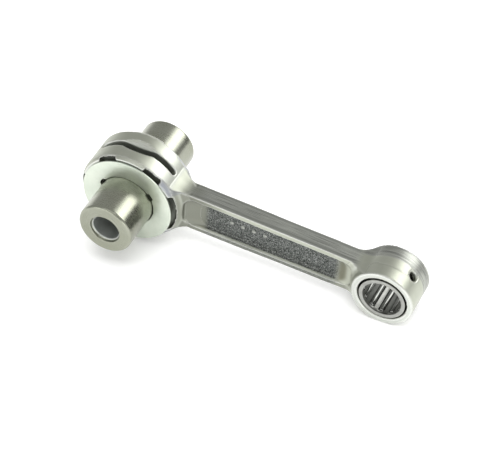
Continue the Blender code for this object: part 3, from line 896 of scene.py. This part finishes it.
def cage_shape(inner, outer, levels, count, half_angle):
    """levels are four places along the axis: the two ends and the windows' two ends."""
    angles, open_column = cage_grid(count, half_angle)
    columns = len(angles)
    points = [polar(radius, angle, y) for radius in (inner, outer) for y in levels for angle in angles]
    faces = []

    def at(side, level, column):
        return (side * 4 + level) * columns + column % columns

    def there(level, column):
        return 0 <= level <= 2 and (level != 1 or not open_column[column % columns])

    for level in range(3):
        for column in range(columns):
            if not there(level, column):
                continue
            square = ((0, 0), (0, 1), (1, 1), (1, 0))
            faces += [[at(side, level + a, column + b) for a, b in square] for side in (0, 1)]
            for shift in (0, 1):
                if not there(level, column + 2 * shift - 1):
                    faces.append([at(a, level + b, column + shift) for a, b in square])
                if not there(level + 2 * shift - 1, column):
                    faces.append([at(a, level + shift, column + b) for a, b in square])
    return points, faces


print("columns of a cage with two windows:", len(cage_grid(2, 10.0)[0]))

# %% The two cages
BIG_NEEDLES, SMALL_NEEDLES = 14, 12
BIG_CENTRE = (0.0, 0.0)
SMALL_DROP = 0.2
SMALL_CENTRE = (CENTRE_DISTANCE, -SMALL_DROP)


def make_cage(name, inner, outer, half_length, window_half, count, half_angle, centre):
    levels = (-half_length, -window_half, window_half, half_length)
    cage = solid(name, cage_shape(inner, outer, levels, count, half_angle))
    broken_edges(cage, 0.12)
    cage.data.transform(Matrix.Translation((centre[0], 0.0, centre[1])))
    mark_turned(cage, *centre)
    mark_bends(cage, 0.12)
    return cage


big_cage = make_cage("big_cage", inner=11.4, outer=14.1, half_length=7.85, window_half=6.95,
                     count=BIG_NEEDLES, half_angle=8.2, centre=BIG_CENTRE)
small_cage = make_cage("small_cage", inner=7.7, outer=9.25, half_length=8.2, window_half=6.75,
                       count=SMALL_NEEDLES, half_angle=8.8, centre=SMALL_CENTRE)
print("cage faces:", len(big_cage.data.polygons), len(small_cage.data.polygons))

# %% [markdown]
# ## The needles, by Geometry Nodes
#
# A needle is the same short roller over and over, spread round a circle, which is just what nodes are for.
# The tree sweeps a circle along a short line whose radius shrinks at its ends, and puts one copy at each
# place round the bearing. Each needle spins on its own, so the input `Which` keeps a single place, and the
# tree is evaluated once for each needle.

# %% A short way to write node trees
def add_node(tree, kind, inputs=None, **settings):
    """A node with its settings; inputs hold values or the sockets that feed them."""
    node = tree.nodes.new(kind)
    for name, value in settings.items():
        setattr(node, name, value)
    for key, value in (inputs or {}).items():
        if isinstance(value, bpy.types.NodeSocket):
            tree.links.new(value, node.inputs[key])
        else:
            node.inputs[key].default_value = value
    return node


def calculate(tree, operation, *values, clamp=False):
    node = add_node(tree, "ShaderNodeMath", dict(enumerate(values)), operation=operation, use_clamp=clamp)
    return node.outputs[0]


def new_tree(name, sizes):
    """An empty tree with a Geometry output and one named input for each size."""
    tree = bpy.data.node_groups.new(name, "GeometryNodeTree")
    tree.interface.new_socket("Geometry", in_out="OUTPUT", socket_type="NodeSocketGeometry")
    for title, kind in sizes.items():
        tree.interface.new_socket(title, in_out="INPUT", socket_type=kind)
    return tree, tree.nodes.new("NodeGroupInput").outputs


def grown(name, tree, values):
    """The tree's result as a plain mesh on a new object."""
    item = bpy.data.objects.new(name, bpy.data.meshes.new(name))
    bpy.context.scene.collection.objects.link(item)
    step = item.modifiers.new("nodes", "NODES")
    step.node_group = tree
    for socket in tree.interface.items_tree:
        if socket.item_type == "SOCKET" and socket.in_out == "INPUT":
            step[socket.identifier] = values[socket.name]
    return settled(item)


print("made for every tree:", add_node.__name__, calculate.__name__, new_tree.__name__, grown.__name__)

# %% The needle tree
NEEDLE_SIZES = {"Radius": "NodeSocketFloat", "Half length": "NodeSocketFloat", "End round": "NodeSocketFloat",
                "Pitch radius": "NodeSocketFloat", "Count": "NodeSocketInt", "Which": "NodeSocketInt",
                "Material": "NodeSocketMaterial"}
NEEDLE_STATIONS, NEEDLE_SIDES = 49, 32


def needle_tree():
    tree, size = new_tree("needle_ring", NEEDLE_SIZES)
    top = add_node(tree, "ShaderNodeCombineXYZ", {"Y": size["Half length"]})
    low_end = calculate(tree, "MULTIPLY", size["Half length"], -1.0)
    bottom = add_node(tree, "ShaderNodeCombineXYZ", {"Y": low_end})
    ends = {"Start": bottom.outputs[0], "End": top.outputs[0]}
    line = add_node(tree, "GeometryNodeCurvePrimitiveLine", ends)
    stations = {"Curve": line.outputs["Curve"], "Count": NEEDLE_STATIONS}
    fine = add_node(tree, "GeometryNodeResampleCurve", stations)
    position = tree.nodes.new("GeometryNodeInputPosition").outputs[0]
    along = add_node(tree, "ShaderNodeSeparateXYZ", {0: position})
    straight = calculate(tree, "SUBTRACT", size["Half length"], size["End round"])
    past = calculate(tree, "SUBTRACT", calculate(tree, "ABSOLUTE", along.outputs["Y"]), straight)
    past = calculate(tree, "DIVIDE", calculate(tree, "MAXIMUM", past, 0.0), size["End round"])
    squared = calculate(tree, "MULTIPLY", past, past)
    circle = calculate(tree, "SQRT", calculate(tree, "SUBTRACT", 1.0, squared, clamp=True))
    inset = calculate(tree, "MULTIPLY", calculate(tree, "SUBTRACT", 1.0, circle), size["End round"])
    radius = calculate(tree, "SUBTRACT", size["Radius"], inset)
    profile = add_node(tree, "GeometryNodeCurvePrimitiveCircle", {"Resolution": NEEDLE_SIDES, "Radius": 1.0})
    sweep = add_node(tree, "GeometryNodeCurveToMesh", {"Curve": fine.outputs["Curve"],
                     "Profile Curve": profile.outputs["Curve"], "Scale": radius, "Fill Caps": True})
    return tree, size, sweep.outputs["Mesh"]


def on_circle(tree, size):
    """Points round the bearing's axis; the one that is wanted is the selection."""
    index = tree.nodes.new("GeometryNodeInputIndex").outputs[0]
    turn = calculate(tree, "DIVIDE", calculate(tree, "MULTIPLY", index, math.tau), size["Count"])
    x = calculate(tree, "MULTIPLY", calculate(tree, "COSINE", turn), size["Pitch radius"])
    z = calculate(tree, "MULTIPLY", calculate(tree, "SINE", turn), size["Pitch radius"])
    place = add_node(tree, "ShaderNodeCombineXYZ", {"X": x, "Z": z})
    points = add_node(tree, "GeometryNodePoints", {"Count": size["Count"], "Position": place.outputs[0]})
    wanted = calculate(tree, "COMPARE", index, size["Which"], 0.5)
    return points.outputs[0], wanted


def end_tree(tree, geometry, material):
    """Realize Instances, smooth shading and the material, as every tree here ends."""
    real = add_node(tree, "GeometryNodeRealizeInstances", {"Geometry": geometry})
    smooth = add_node(tree, "GeometryNodeSetShadeSmooth", {"Geometry": real.outputs["Geometry"]})
    shaded = {"Geometry": smooth.outputs["Geometry"], "Material": material}
    dressed = add_node(tree, "GeometryNodeSetMaterial", shaded)
    output = tree.nodes.new("NodeGroupOutput")
    tree.links.new(dressed.outputs["Geometry"], output.inputs["Geometry"])
    return tree


def needle_ring_tree():
    tree, size, needle = needle_tree()
    points, wanted = on_circle(tree, size)
    spread_out = {"Points": points, "Selection": wanted, "Instance": needle}
    copies = add_node(tree, "GeometryNodeInstanceOnPoints", spread_out)
    return end_tree(tree, copies.outputs["Instances"], size["Material"])


needles = needle_ring_tree()
print("nodes in the needle tree:", len(needles.nodes))

# %% [markdown]
# ## Finishes
#
# All the pieces are steel, so all the finishes are one kind: a metal whose colour, roughness and fine
# relief come from noise on the grain that the meshes carry. Noise on a stretched grain gives tool marks,
# noise on the plain place gives blasting and stains. What differs is how strong each is and where.

# %% A finish and its parts
def new_finish(name, metallic):
    material = bpy.data.materials.new(name)
    material.use_nodes = True
    shader = material.node_tree.nodes["Principled BSDF"]
    shader.inputs["Metallic"].default_value = metallic
    return material, material.node_tree, shader


def number(tree, name):
    """A number that the mesh carries."""
    return add_node(tree, "ShaderNodeAttribute", attribute_name=name).outputs["Fac"]


def place_of(tree):
    """The point's own place, in metres."""
    return tree.nodes.new("ShaderNodeTexCoord").outputs["Object"]


def noise(tree, where, scale, detail=3.0, roughness=0.5):
    inputs = {"Vector": where, "Scale": scale, "Detail": detail, "Roughness": roughness}
    return add_node(tree, "ShaderNodeTexNoise", inputs).outputs["Fac"]


def grain_noise(tree, scale=1.0, detail=3.0, roughness=0.6):
    grain = add_node(tree, "ShaderNodeAttribute", attribute_name="grain").outputs["Vector"]
    return noise(tree, grain, scale, detail, roughness)


def spread(tree, value, low, high, to_low=0.0, to_high=1.0):
    """value between low and high, moved to the range from to_low to to_high."""
    node = add_node(tree, "ShaderNodeMapRange", {0: value, 1: low, 2: high, 3: to_low, 4: to_high})
    return node.outputs[0]


def mixed(tree, share, first, second):
    """Between two numbers by share."""
    node = add_node(tree, "ShaderNodeMix", {0: share, 2: first, 3: second}, data_type="FLOAT")
    return node.outputs[0]


def mixed_colour(tree, share, first, second):
    node = add_node(tree, "ShaderNodeMix", data_type="RGBA")
    for key, value in ((0, share), (6, first), (7, second)):
        if isinstance(value, bpy.types.NodeSocket):
            tree.links.new(value, node.inputs[key])
        else:
            node.inputs[key].default_value = (*value, 1.0) if isinstance(value, tuple) else value
    return node.outputs[2]


def toned(tree, colour, name, tone, strength=1.0):
    """A colour with another tone laid over it by a share that the mesh carries."""
    share = number(tree, name)
    if strength < 1.0:
        share = calculate(tree, "MULTIPLY", share, strength)
    return mixed_colour(tree, share, colour, tone)


def relief(tree, height, depth, under=None):
    """Bump from a height of 0 to 1 that stands for depth in metres."""
    inputs = {"Height": height, "Distance": depth, "Strength": 1.0}
    if under is not None:
        inputs["Normal"] = under
    return add_node(tree, "ShaderNodeBump", inputs).outputs["Normal"]


def dress(tree, shader, colour, roughness, normal):
    tree.links.new(colour, shader.inputs["Base Color"])
    tree.links.new(roughness, shader.inputs["Roughness"])
    tree.links.new(normal, shader.inputs["Normal"])


print("made for every finish:", new_finish.__name__, toned.__name__, relief.__name__, dress.__name__)

# %% [markdown]
# ### The rod's steel
#
# The forging's own skin is a warm grey. It is painted darker at the root of the beam, on the lower
# flange's face and on top of the neck, a painted shade. In the recess it is blasted, rough and mottled
# with bright specks, and its near black colour is painted shade as well as the blasted finish. The
# flanges' outsides and the rear half of the small eye were ground, which leaves long bright and dark
# streaks; the flanges' slopes are painted darker, a painted shade. The machined faces are pale and
# smooth, and the right part of the big eye's rim and neck takes their pale colour as a painted highlight.
# The shoulders beside the big eye get a blue-grey painted shade. Edges are painted paler, a painted
# highlight, and hollows darker, a painted shade.

# %% Rod steel
ROD_TONES = {
    "skin_dark": (0.37, 0.385, 0.31),
    "skin_pale": (0.49, 0.51, 0.44),
    "swept": (0.19, 0.19, 0.14),
    "ground": (0.43, 0.445, 0.40),
    # Painted shade on the flanges' slopes.
    "slope": (0.24, 0.25, 0.22),
    "streak": (0.20, 0.205, 0.19),
    # Painted blue-grey shade on the shoulders.
    "shoulder": (0.30, 0.315, 0.34),
    # Pale machined colour, also a painted highlight on the rim's right part.
    "machined": (0.56, 0.58, 0.535),
    # Painted shade at the root, the lower flange and the neck.
    "dull": (0.23, 0.238, 0.20),
    # Near black in the recess: painted shade together with the blasted finish.
    "shaded_blast_dark": (0.03, 0.034, 0.03),
    "shaded_blast_pale": (0.125, 0.135, 0.125),
    "speck": (0.42, 0.43, 0.42),
    # Painted shade in hollows and a painted highlight on edges.
    "hollow": (0.14, 0.14, 0.12),
    "edge": (0.80, 0.81, 0.78),
}
STREAK_DEPTH = 0.000012
BLAST_DEPTH = 0.00022
BLAST_ROUGHNESS = 0.52


def rod_steel():
    material, tree, shader = new_finish("rod_steel", 1.0)
    tone = ROD_TONES
    where = place_of(tree)
    blasted, ground = number(tree, "blasted"), number(tree, "ground")
    stain = noise(tree, where, 90.0, 3.0)
    streak = grain_noise(tree, 1.0, 4.0, 0.65)
    mottle = noise(tree, where, 1500.0, 3.0, 0.7)
    speck = spread(tree, noise(tree, where, 3400.0, 2.0), 0.52, 0.68)
    skin = mixed_colour(tree, stain, tone["skin_dark"], tone["skin_pale"])
    # The slopes' darker tone is painted shade; swept and ground are finishes.
    for name, strength in (("swept", 1.0), ("ground", 1.0), ("slope", 0.7)):
        skin = toned(tree, skin, name, tone[name], strength)
    streak_share = calculate(tree, "MULTIPLY", ground, spread(tree, streak, 0.42, 0.60))
    skin = mixed_colour(tree, streak_share, skin, tone["streak"])
    # Painted blue-grey shade on the shoulders, painted shade at the root, neck and lower flange, and the pale
    # machined tone, which also paints a highlight on the rim.
    for name in ("shoulder", "machined", "dull"):
        skin = toned(tree, skin, name, tone[name])
    # The recess's near black is painted shade as well as the blasted finish.
    dark = mixed_colour(tree, spread(tree, mottle, 0.38, 0.62), tone["shaded_blast_dark"], tone["shaded_blast_pale"])
    dark = mixed_colour(tree, speck, dark, tone["speck"])
    colour = mixed_colour(tree, blasted, skin, dark)
    # Painted shade in the hollows and a painted highlight on the edges.
    colour = toned(tree, colour, "hollow", tone["hollow"], 0.6)
    colour = toned(tree, colour, "edge", tone["edge"], 0.7)
    smooth = spread(tree, streak, 0.3, 0.7, 0.36, 0.50)
    roughness = mixed(tree, blasted, smooth, BLAST_ROUGHNESS)
    fine = relief(tree, streak, STREAK_DEPTH)
    coarse = relief(tree, calculate(tree, "MULTIPLY", mottle, blasted), BLAST_DEPTH, fine)
    dress(tree, shader, colour, roughness, coarse)
    return material


ROD_STEEL = rod_steel()
print("nodes in the rod's steel:", len(ROD_STEEL.node_tree.nodes))

# %% [markdown]
# ### Pin, washers, cages and needles
#
# The pin is ground round and round, so its lines are very fine and its colour is warm; its hollow inside
# is paler and rougher. Silver plating is the palest finish here, with soft cloudy stains. The cages are
# plain pressed steel and the needles are polished, and both are given dark colours, a painted shade for
# the inside of the eyes.

# %% The other finishes
INSIDE_TONE = (0.50, 0.52, 0.50)
INSIDE_ROUGHNESS = 0.52
# Edges gain a painted highlight and hollows lose light as painted shade.
EDGE_HIGHLIGHT_GAIN, HOLLOW_SHADE_LOSS = 1.3, 0.4


def plain_steel(name, dull, pale, stain_scale, roughness, line_depth, edge_highlight):
    """A turned or pressed steel with stains between two colours and fine tool lines, a painted highlight on
    its edges and painted shade in its hollows.
    """
    material, tree, shader = new_finish(name, 1.0)
    stain = noise(tree, place_of(tree), stain_scale, 4.0, 0.55)
    line = grain_noise(tree, 1.6, 3.0, 0.7)
    colour = mixed_colour(tree, spread(tree, stain, 0.35, 0.65), dull, pale)
    # Painted highlight on edges, painted shade in hollows.
    colour = toned(tree, colour, "edge", tuple(min(1.0, value * EDGE_HIGHLIGHT_GAIN) for value in pale), edge_highlight)
    colour = toned(tree, colour, "hollow", tuple(value * HOLLOW_SHADE_LOSS for value in dull), 0.5)
    colour = toned(tree, colour, "inside", INSIDE_TONE)
    rough = spread(tree, calculate(tree, "ADD", line, stain), 0.7, 1.3, *roughness)
    rough = mixed(tree, number(tree, "inside"), rough, INSIDE_ROUGHNESS)
    dress(tree, shader, colour, rough, relief(tree, line, line_depth))
    return material


PIN_STEEL = plain_steel("pin_steel", dull=(0.275, 0.285, 0.225), pale=(0.33, 0.34, 0.285),
                        stain_scale=60.0, roughness=(0.24, 0.31), line_depth=0.0000015, edge_highlight=0.6)
SILVER = plain_steel("silver_plate", dull=(0.47, 0.525, 0.445), pale=(0.61, 0.65, 0.57),
                     stain_scale=160.0, roughness=(0.36, 0.50), line_depth=0.000003, edge_highlight=0.4)
# The cage's and needles' dark colours are a painted shade for the inside of the eyes.
CAGE_STEEL = plain_steel("cage_steel", dull=(0.22, 0.225, 0.21), pale=(0.36, 0.365, 0.34),
                         stain_scale=200.0, roughness=(0.30, 0.44), line_depth=0.000005, edge_highlight=0.6)
NEEDLE_STEEL = plain_steel("needle_steel", dull=(0.17, 0.175, 0.165), pale=(0.24, 0.245, 0.23),
                           stain_scale=150.0, roughness=(0.12, 0.2), line_depth=0.000001, edge_highlight=0.2)
print("finishes:", [m.name for m in (ROD_STEEL, PIN_STEEL, SILVER, CAGE_STEEL, NEEDLE_STEEL)])

# %% [markdown]
# ## Grow the needles, one for each body
#
# The tree is evaluated once for each needle, and its mesh takes the needle's place on the needle's own
# body, so that each can roll when the pin turns.

# %% Needles in place
def add_needles(title, count, sizes, centre, tree):
    for k in range(count):
        node = f"{title}_roller_{k + 1:02d}"
        values = {**sizes, "Count": count, "Which": k, "Material": NEEDLE_STEEL}
        needle = grown(f"{title}_needle_{k + 1:02d}", tree, values)
        needle.data.transform(Matrix.Translation((centre[0], 0.0, centre[1])))
        place = polar(sizes["Pitch radius"], 360.0 * k / count)
        mark_turned(needle, centre[0] + place[0], centre[1] + place[2])
        mark_bends(needle, 0.05)
        finished(needle, node, node, "roller", NEEDLE_STEEL)
    print(title, "needles:", count, "faces each:", len(needle.data.polygons))


BIG_NEEDLE = {"Radius": 1.7, "Half length": 6.8, "End round": 0.45, "Pitch radius": 12.75}
SMALL_NEEDLE = {"Radius": 1.2, "Half length": 6.6, "End round": 0.4, "Pitch radius": 8.45}
add_needles("big_end", BIG_NEEDLES, BIG_NEEDLE, BIG_CENTRE, needles)
add_needles("small_end", SMALL_NEEDLES, SMALL_NEEDLE, SMALL_CENTRE, needles)

# %% [markdown]
# ## Raised marks in the recess
#
# A forging die leaves a few raised marks in the recess, so that the maker can tell its dies apart. Here
# they are a plain row of round pips, which say nothing. Nodes put a pip at each place on a short line.

# %% The row of pips
PIP_SIZES = {"Radius": "NodeSocketFloat", "Height": "NodeSocketFloat", "Spacing": "NodeSocketFloat",
             "Count": "NodeSocketInt", "Material": "NodeSocketMaterial"}


def pip_tree():
    tree, size = new_tree("pip_row", PIP_SIZES)
    round_parts = {"Segments": 24, "Rings": 12, "Radius": size["Radius"]}
    ball = add_node(tree, "GeometryNodeMeshUVSphere", round_parts)
    flat = calculate(tree, "DIVIDE", size["Height"], size["Radius"])
    scale = add_node(tree, "ShaderNodeCombineXYZ", {"X": 1.0, "Y": flat, "Z": 1.0})
    index = tree.nodes.new("GeometryNodeInputIndex").outputs[0]
    step = calculate(tree, "MULTIPLY", index, size["Spacing"])
    along = add_node(tree, "ShaderNodeCombineXYZ", {"X": step})
    points = add_node(tree, "GeometryNodePoints", {"Count": size["Count"], "Position": along.outputs[0]})
    spread_out = {"Points": points.outputs[0], "Instance": ball.outputs["Mesh"], "Scale": scale.outputs[0]}
    copies = add_node(tree, "GeometryNodeInstanceOnPoints", spread_out)
    return end_tree(tree, copies.outputs["Instances"], size["Material"])


PIP_START_X, PIP_Z = 40.5, 1.0
# The pips take the recess's blasted texture and its painted shade.
PIP_BLASTED_AND_SHADED = 0.7
PIP = {"Radius": 0.85, "Height": 0.35, "Spacing": 4.6, "Count": 4, "Material": ROD_STEEL}
pips = grown("web_pips", pip_tree(), PIP)
pips.data.transform(Matrix.Translation((PIP_START_X, -WEB_HALF_THICKNESS, PIP_Z)))
write_vector(pips, "grain", points_of(pips))
for name in ROD_SHARES:
    write_number(pips, name, np.full(len(pips.data.vertices), PIP_BLASTED_AND_SHADED if name == "blasted" else 0.0))
mark_bends(pips, 0.05)
pips.data.transform(TO_PLACE)
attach(pips, "connecting_rod")
print("pips:", len(pips.data.polygons), "faces")

# %% [markdown]
# ## Put the made pieces in place

# %% Place and dress
finished(rod, "connecting_rod", "connecting_rod", "rod", ROD_STEEL)
finished(pin, "crank_pin", "crank_pin", "pin", PIN_STEEL)
finished(big_cage, "big_end_cage", "big_end_cage", "cage", CAGE_STEEL)
finished(small_cage, "small_end_cage", "small_end_cage", "cage", CAGE_STEEL)
for end, washer in washers.items():
    finished(washer, "thrust_washer_" + end, "thrust_washer_" + end, "washer", SILVER)
print("pieces in place")

# %% [markdown]
# ## The studio
#
# Bright metal shows what is around it, so the lights are shapes more than they are lamps. A low sheet and
# a card stand in front, a narrow card hangs above, and a sheet behind on the right draws the long
# highlights on the pin. Next to it a black flag, which only the metal sees, draws the dark band beside
# that highlight. A sheet overhead, which the metal doesn't see, brightens the pale floor; the floor glows
# a little, so that its shadows stay soft. The surround is grey.

# %% Floor, lights and flag
FLOOR_SIZE = 6.0
FLOOR_DROP = 0.00005
FLOOR_GLOW = 0.16
MIDDLE = (0, 0, 0.02)
# Name: place, target, size, power.
LIGHTS = {
    "front_sheet": ((-0.45, -1.05, 0.30), MIDDLE, (1.1, 0.35), 2.8),
    "front_card": ((0.72, -0.80, 0.16), MIDDLE, (0.7, 0.3), 1.6),
    "top_card": ((0.08, -0.45, 1.0), MIDDLE, (1.1, 0.2), 1.6),
    "rear_sheet": ((0.58, 0.72, 0.68), MIDDLE, (1.0, 0.55), 7.0),
    "floor_sheet": ((0.05, -0.1, 1.1), (0, 0, 0), (0.9, 0.9), 8.0),
}
FLAG_PLACE, FLAG_SIZE = (0.88, 0.73, 0.14), (0.8, 0.5)


def matt(name, grey):
    material, _, shader = new_finish(name, 0.0)
    shader.inputs["Base Color"].default_value = (grey, grey, grey, 1.0)
    shader.inputs["Roughness"].default_value = 0.9
    return material, shader


def make_floor():
    bpy.ops.mesh.primitive_plane_add(size=FLOOR_SIZE, location=(0, 0, -FLOOR_DROP))
    floor = bpy.context.object
    floor.name = "studio_floor"
    material, shader = matt("floor_white", 0.93)
    shader.inputs["Specular IOR Level"].default_value = 0.1
    shader.inputs["Emission Color"].default_value = (1.0, 1.0, 1.0, 1.0)
    shader.inputs["Emission Strength"].default_value = FLOOR_GLOW
    floor.data.materials.append(material)


def make_light(name, place, target, size, power):
    lamp = bpy.data.lights.new(name, "AREA")
    lamp.shape = "RECTANGLE"
    lamp.size, lamp.size_y = size
    lamp.energy = power
    item = bpy.data.objects.new(name, lamp)
    bpy.context.scene.collection.objects.link(item)
    item.location = place
    item.rotation_euler = (Vector(target) - Vector(place)).to_track_quat("-Z", "Y").to_euler()
    return item


def make_flag(place, size):
    """A black card that only the polished metal sees: it draws the dark band beside a highlight."""
    bpy.ops.mesh.primitive_plane_add(size=1.0, location=place)
    flag = bpy.context.object
    flag.name = "studio_flag"
    flag.scale = (size[0], size[1], 1.0)
    flag.rotation_euler = (Vector((0, 0, place[2])) - Vector(place)).to_track_quat("Z", "Y").to_euler()
    flag.data.materials.append(matt("flag_black", 0.03)[0])
    for ray in ("camera", "diffuse", "shadow", "transmission", "volume_scatter"):
        setattr(flag, "visible_" + ray, False)


make_floor()
lights = {name: make_light(name, *how) for name, how in LIGHTS.items()}
lights["floor_sheet"].visible_glossy = False
make_flag(FLAG_PLACE, FLAG_SIZE)
print("lights:", list(lights))

# %% Surround and camera
SURROUND_GREY = 0.62
SURROUND_STRENGTH = 0.92
FOCAL_LENGTH = 163.1
CAMERA_FROM_PIN = Vector((0.3083, -0.5414, 0.6006))
AIM_FROM_PIN = Vector((0.04715, 0.0, -0.0044))

world = bpy.data.worlds.new("surround")
world.use_nodes = True
background = world.node_tree.nodes["Background"]
background.inputs["Color"].default_value = (SURROUND_GREY, SURROUND_GREY, SURROUND_GREY, 1.0)
background.inputs["Strength"].default_value = SURROUND_STRENGTH
bpy.context.scene.world = world

camera_data = bpy.data.cameras.new("camera")
camera_data.lens = FOCAL_LENGTH
camera = bpy.data.objects.new("camera", camera_data)
bpy.context.scene.collection.objects.link(camera)
camera.location = ROD_ORIGIN + CAMERA_FROM_PIN
camera.rotation_euler = (AIM_FROM_PIN - CAMERA_FROM_PIN).to_track_quat("-Z", "Y").to_euler()
bpy.context.scene.camera = camera
bpy.context.scene.view_settings.view_transform = "Standard"
print("camera", round(CAMERA_FROM_PIN.length, 3), "m from the pin's centre")
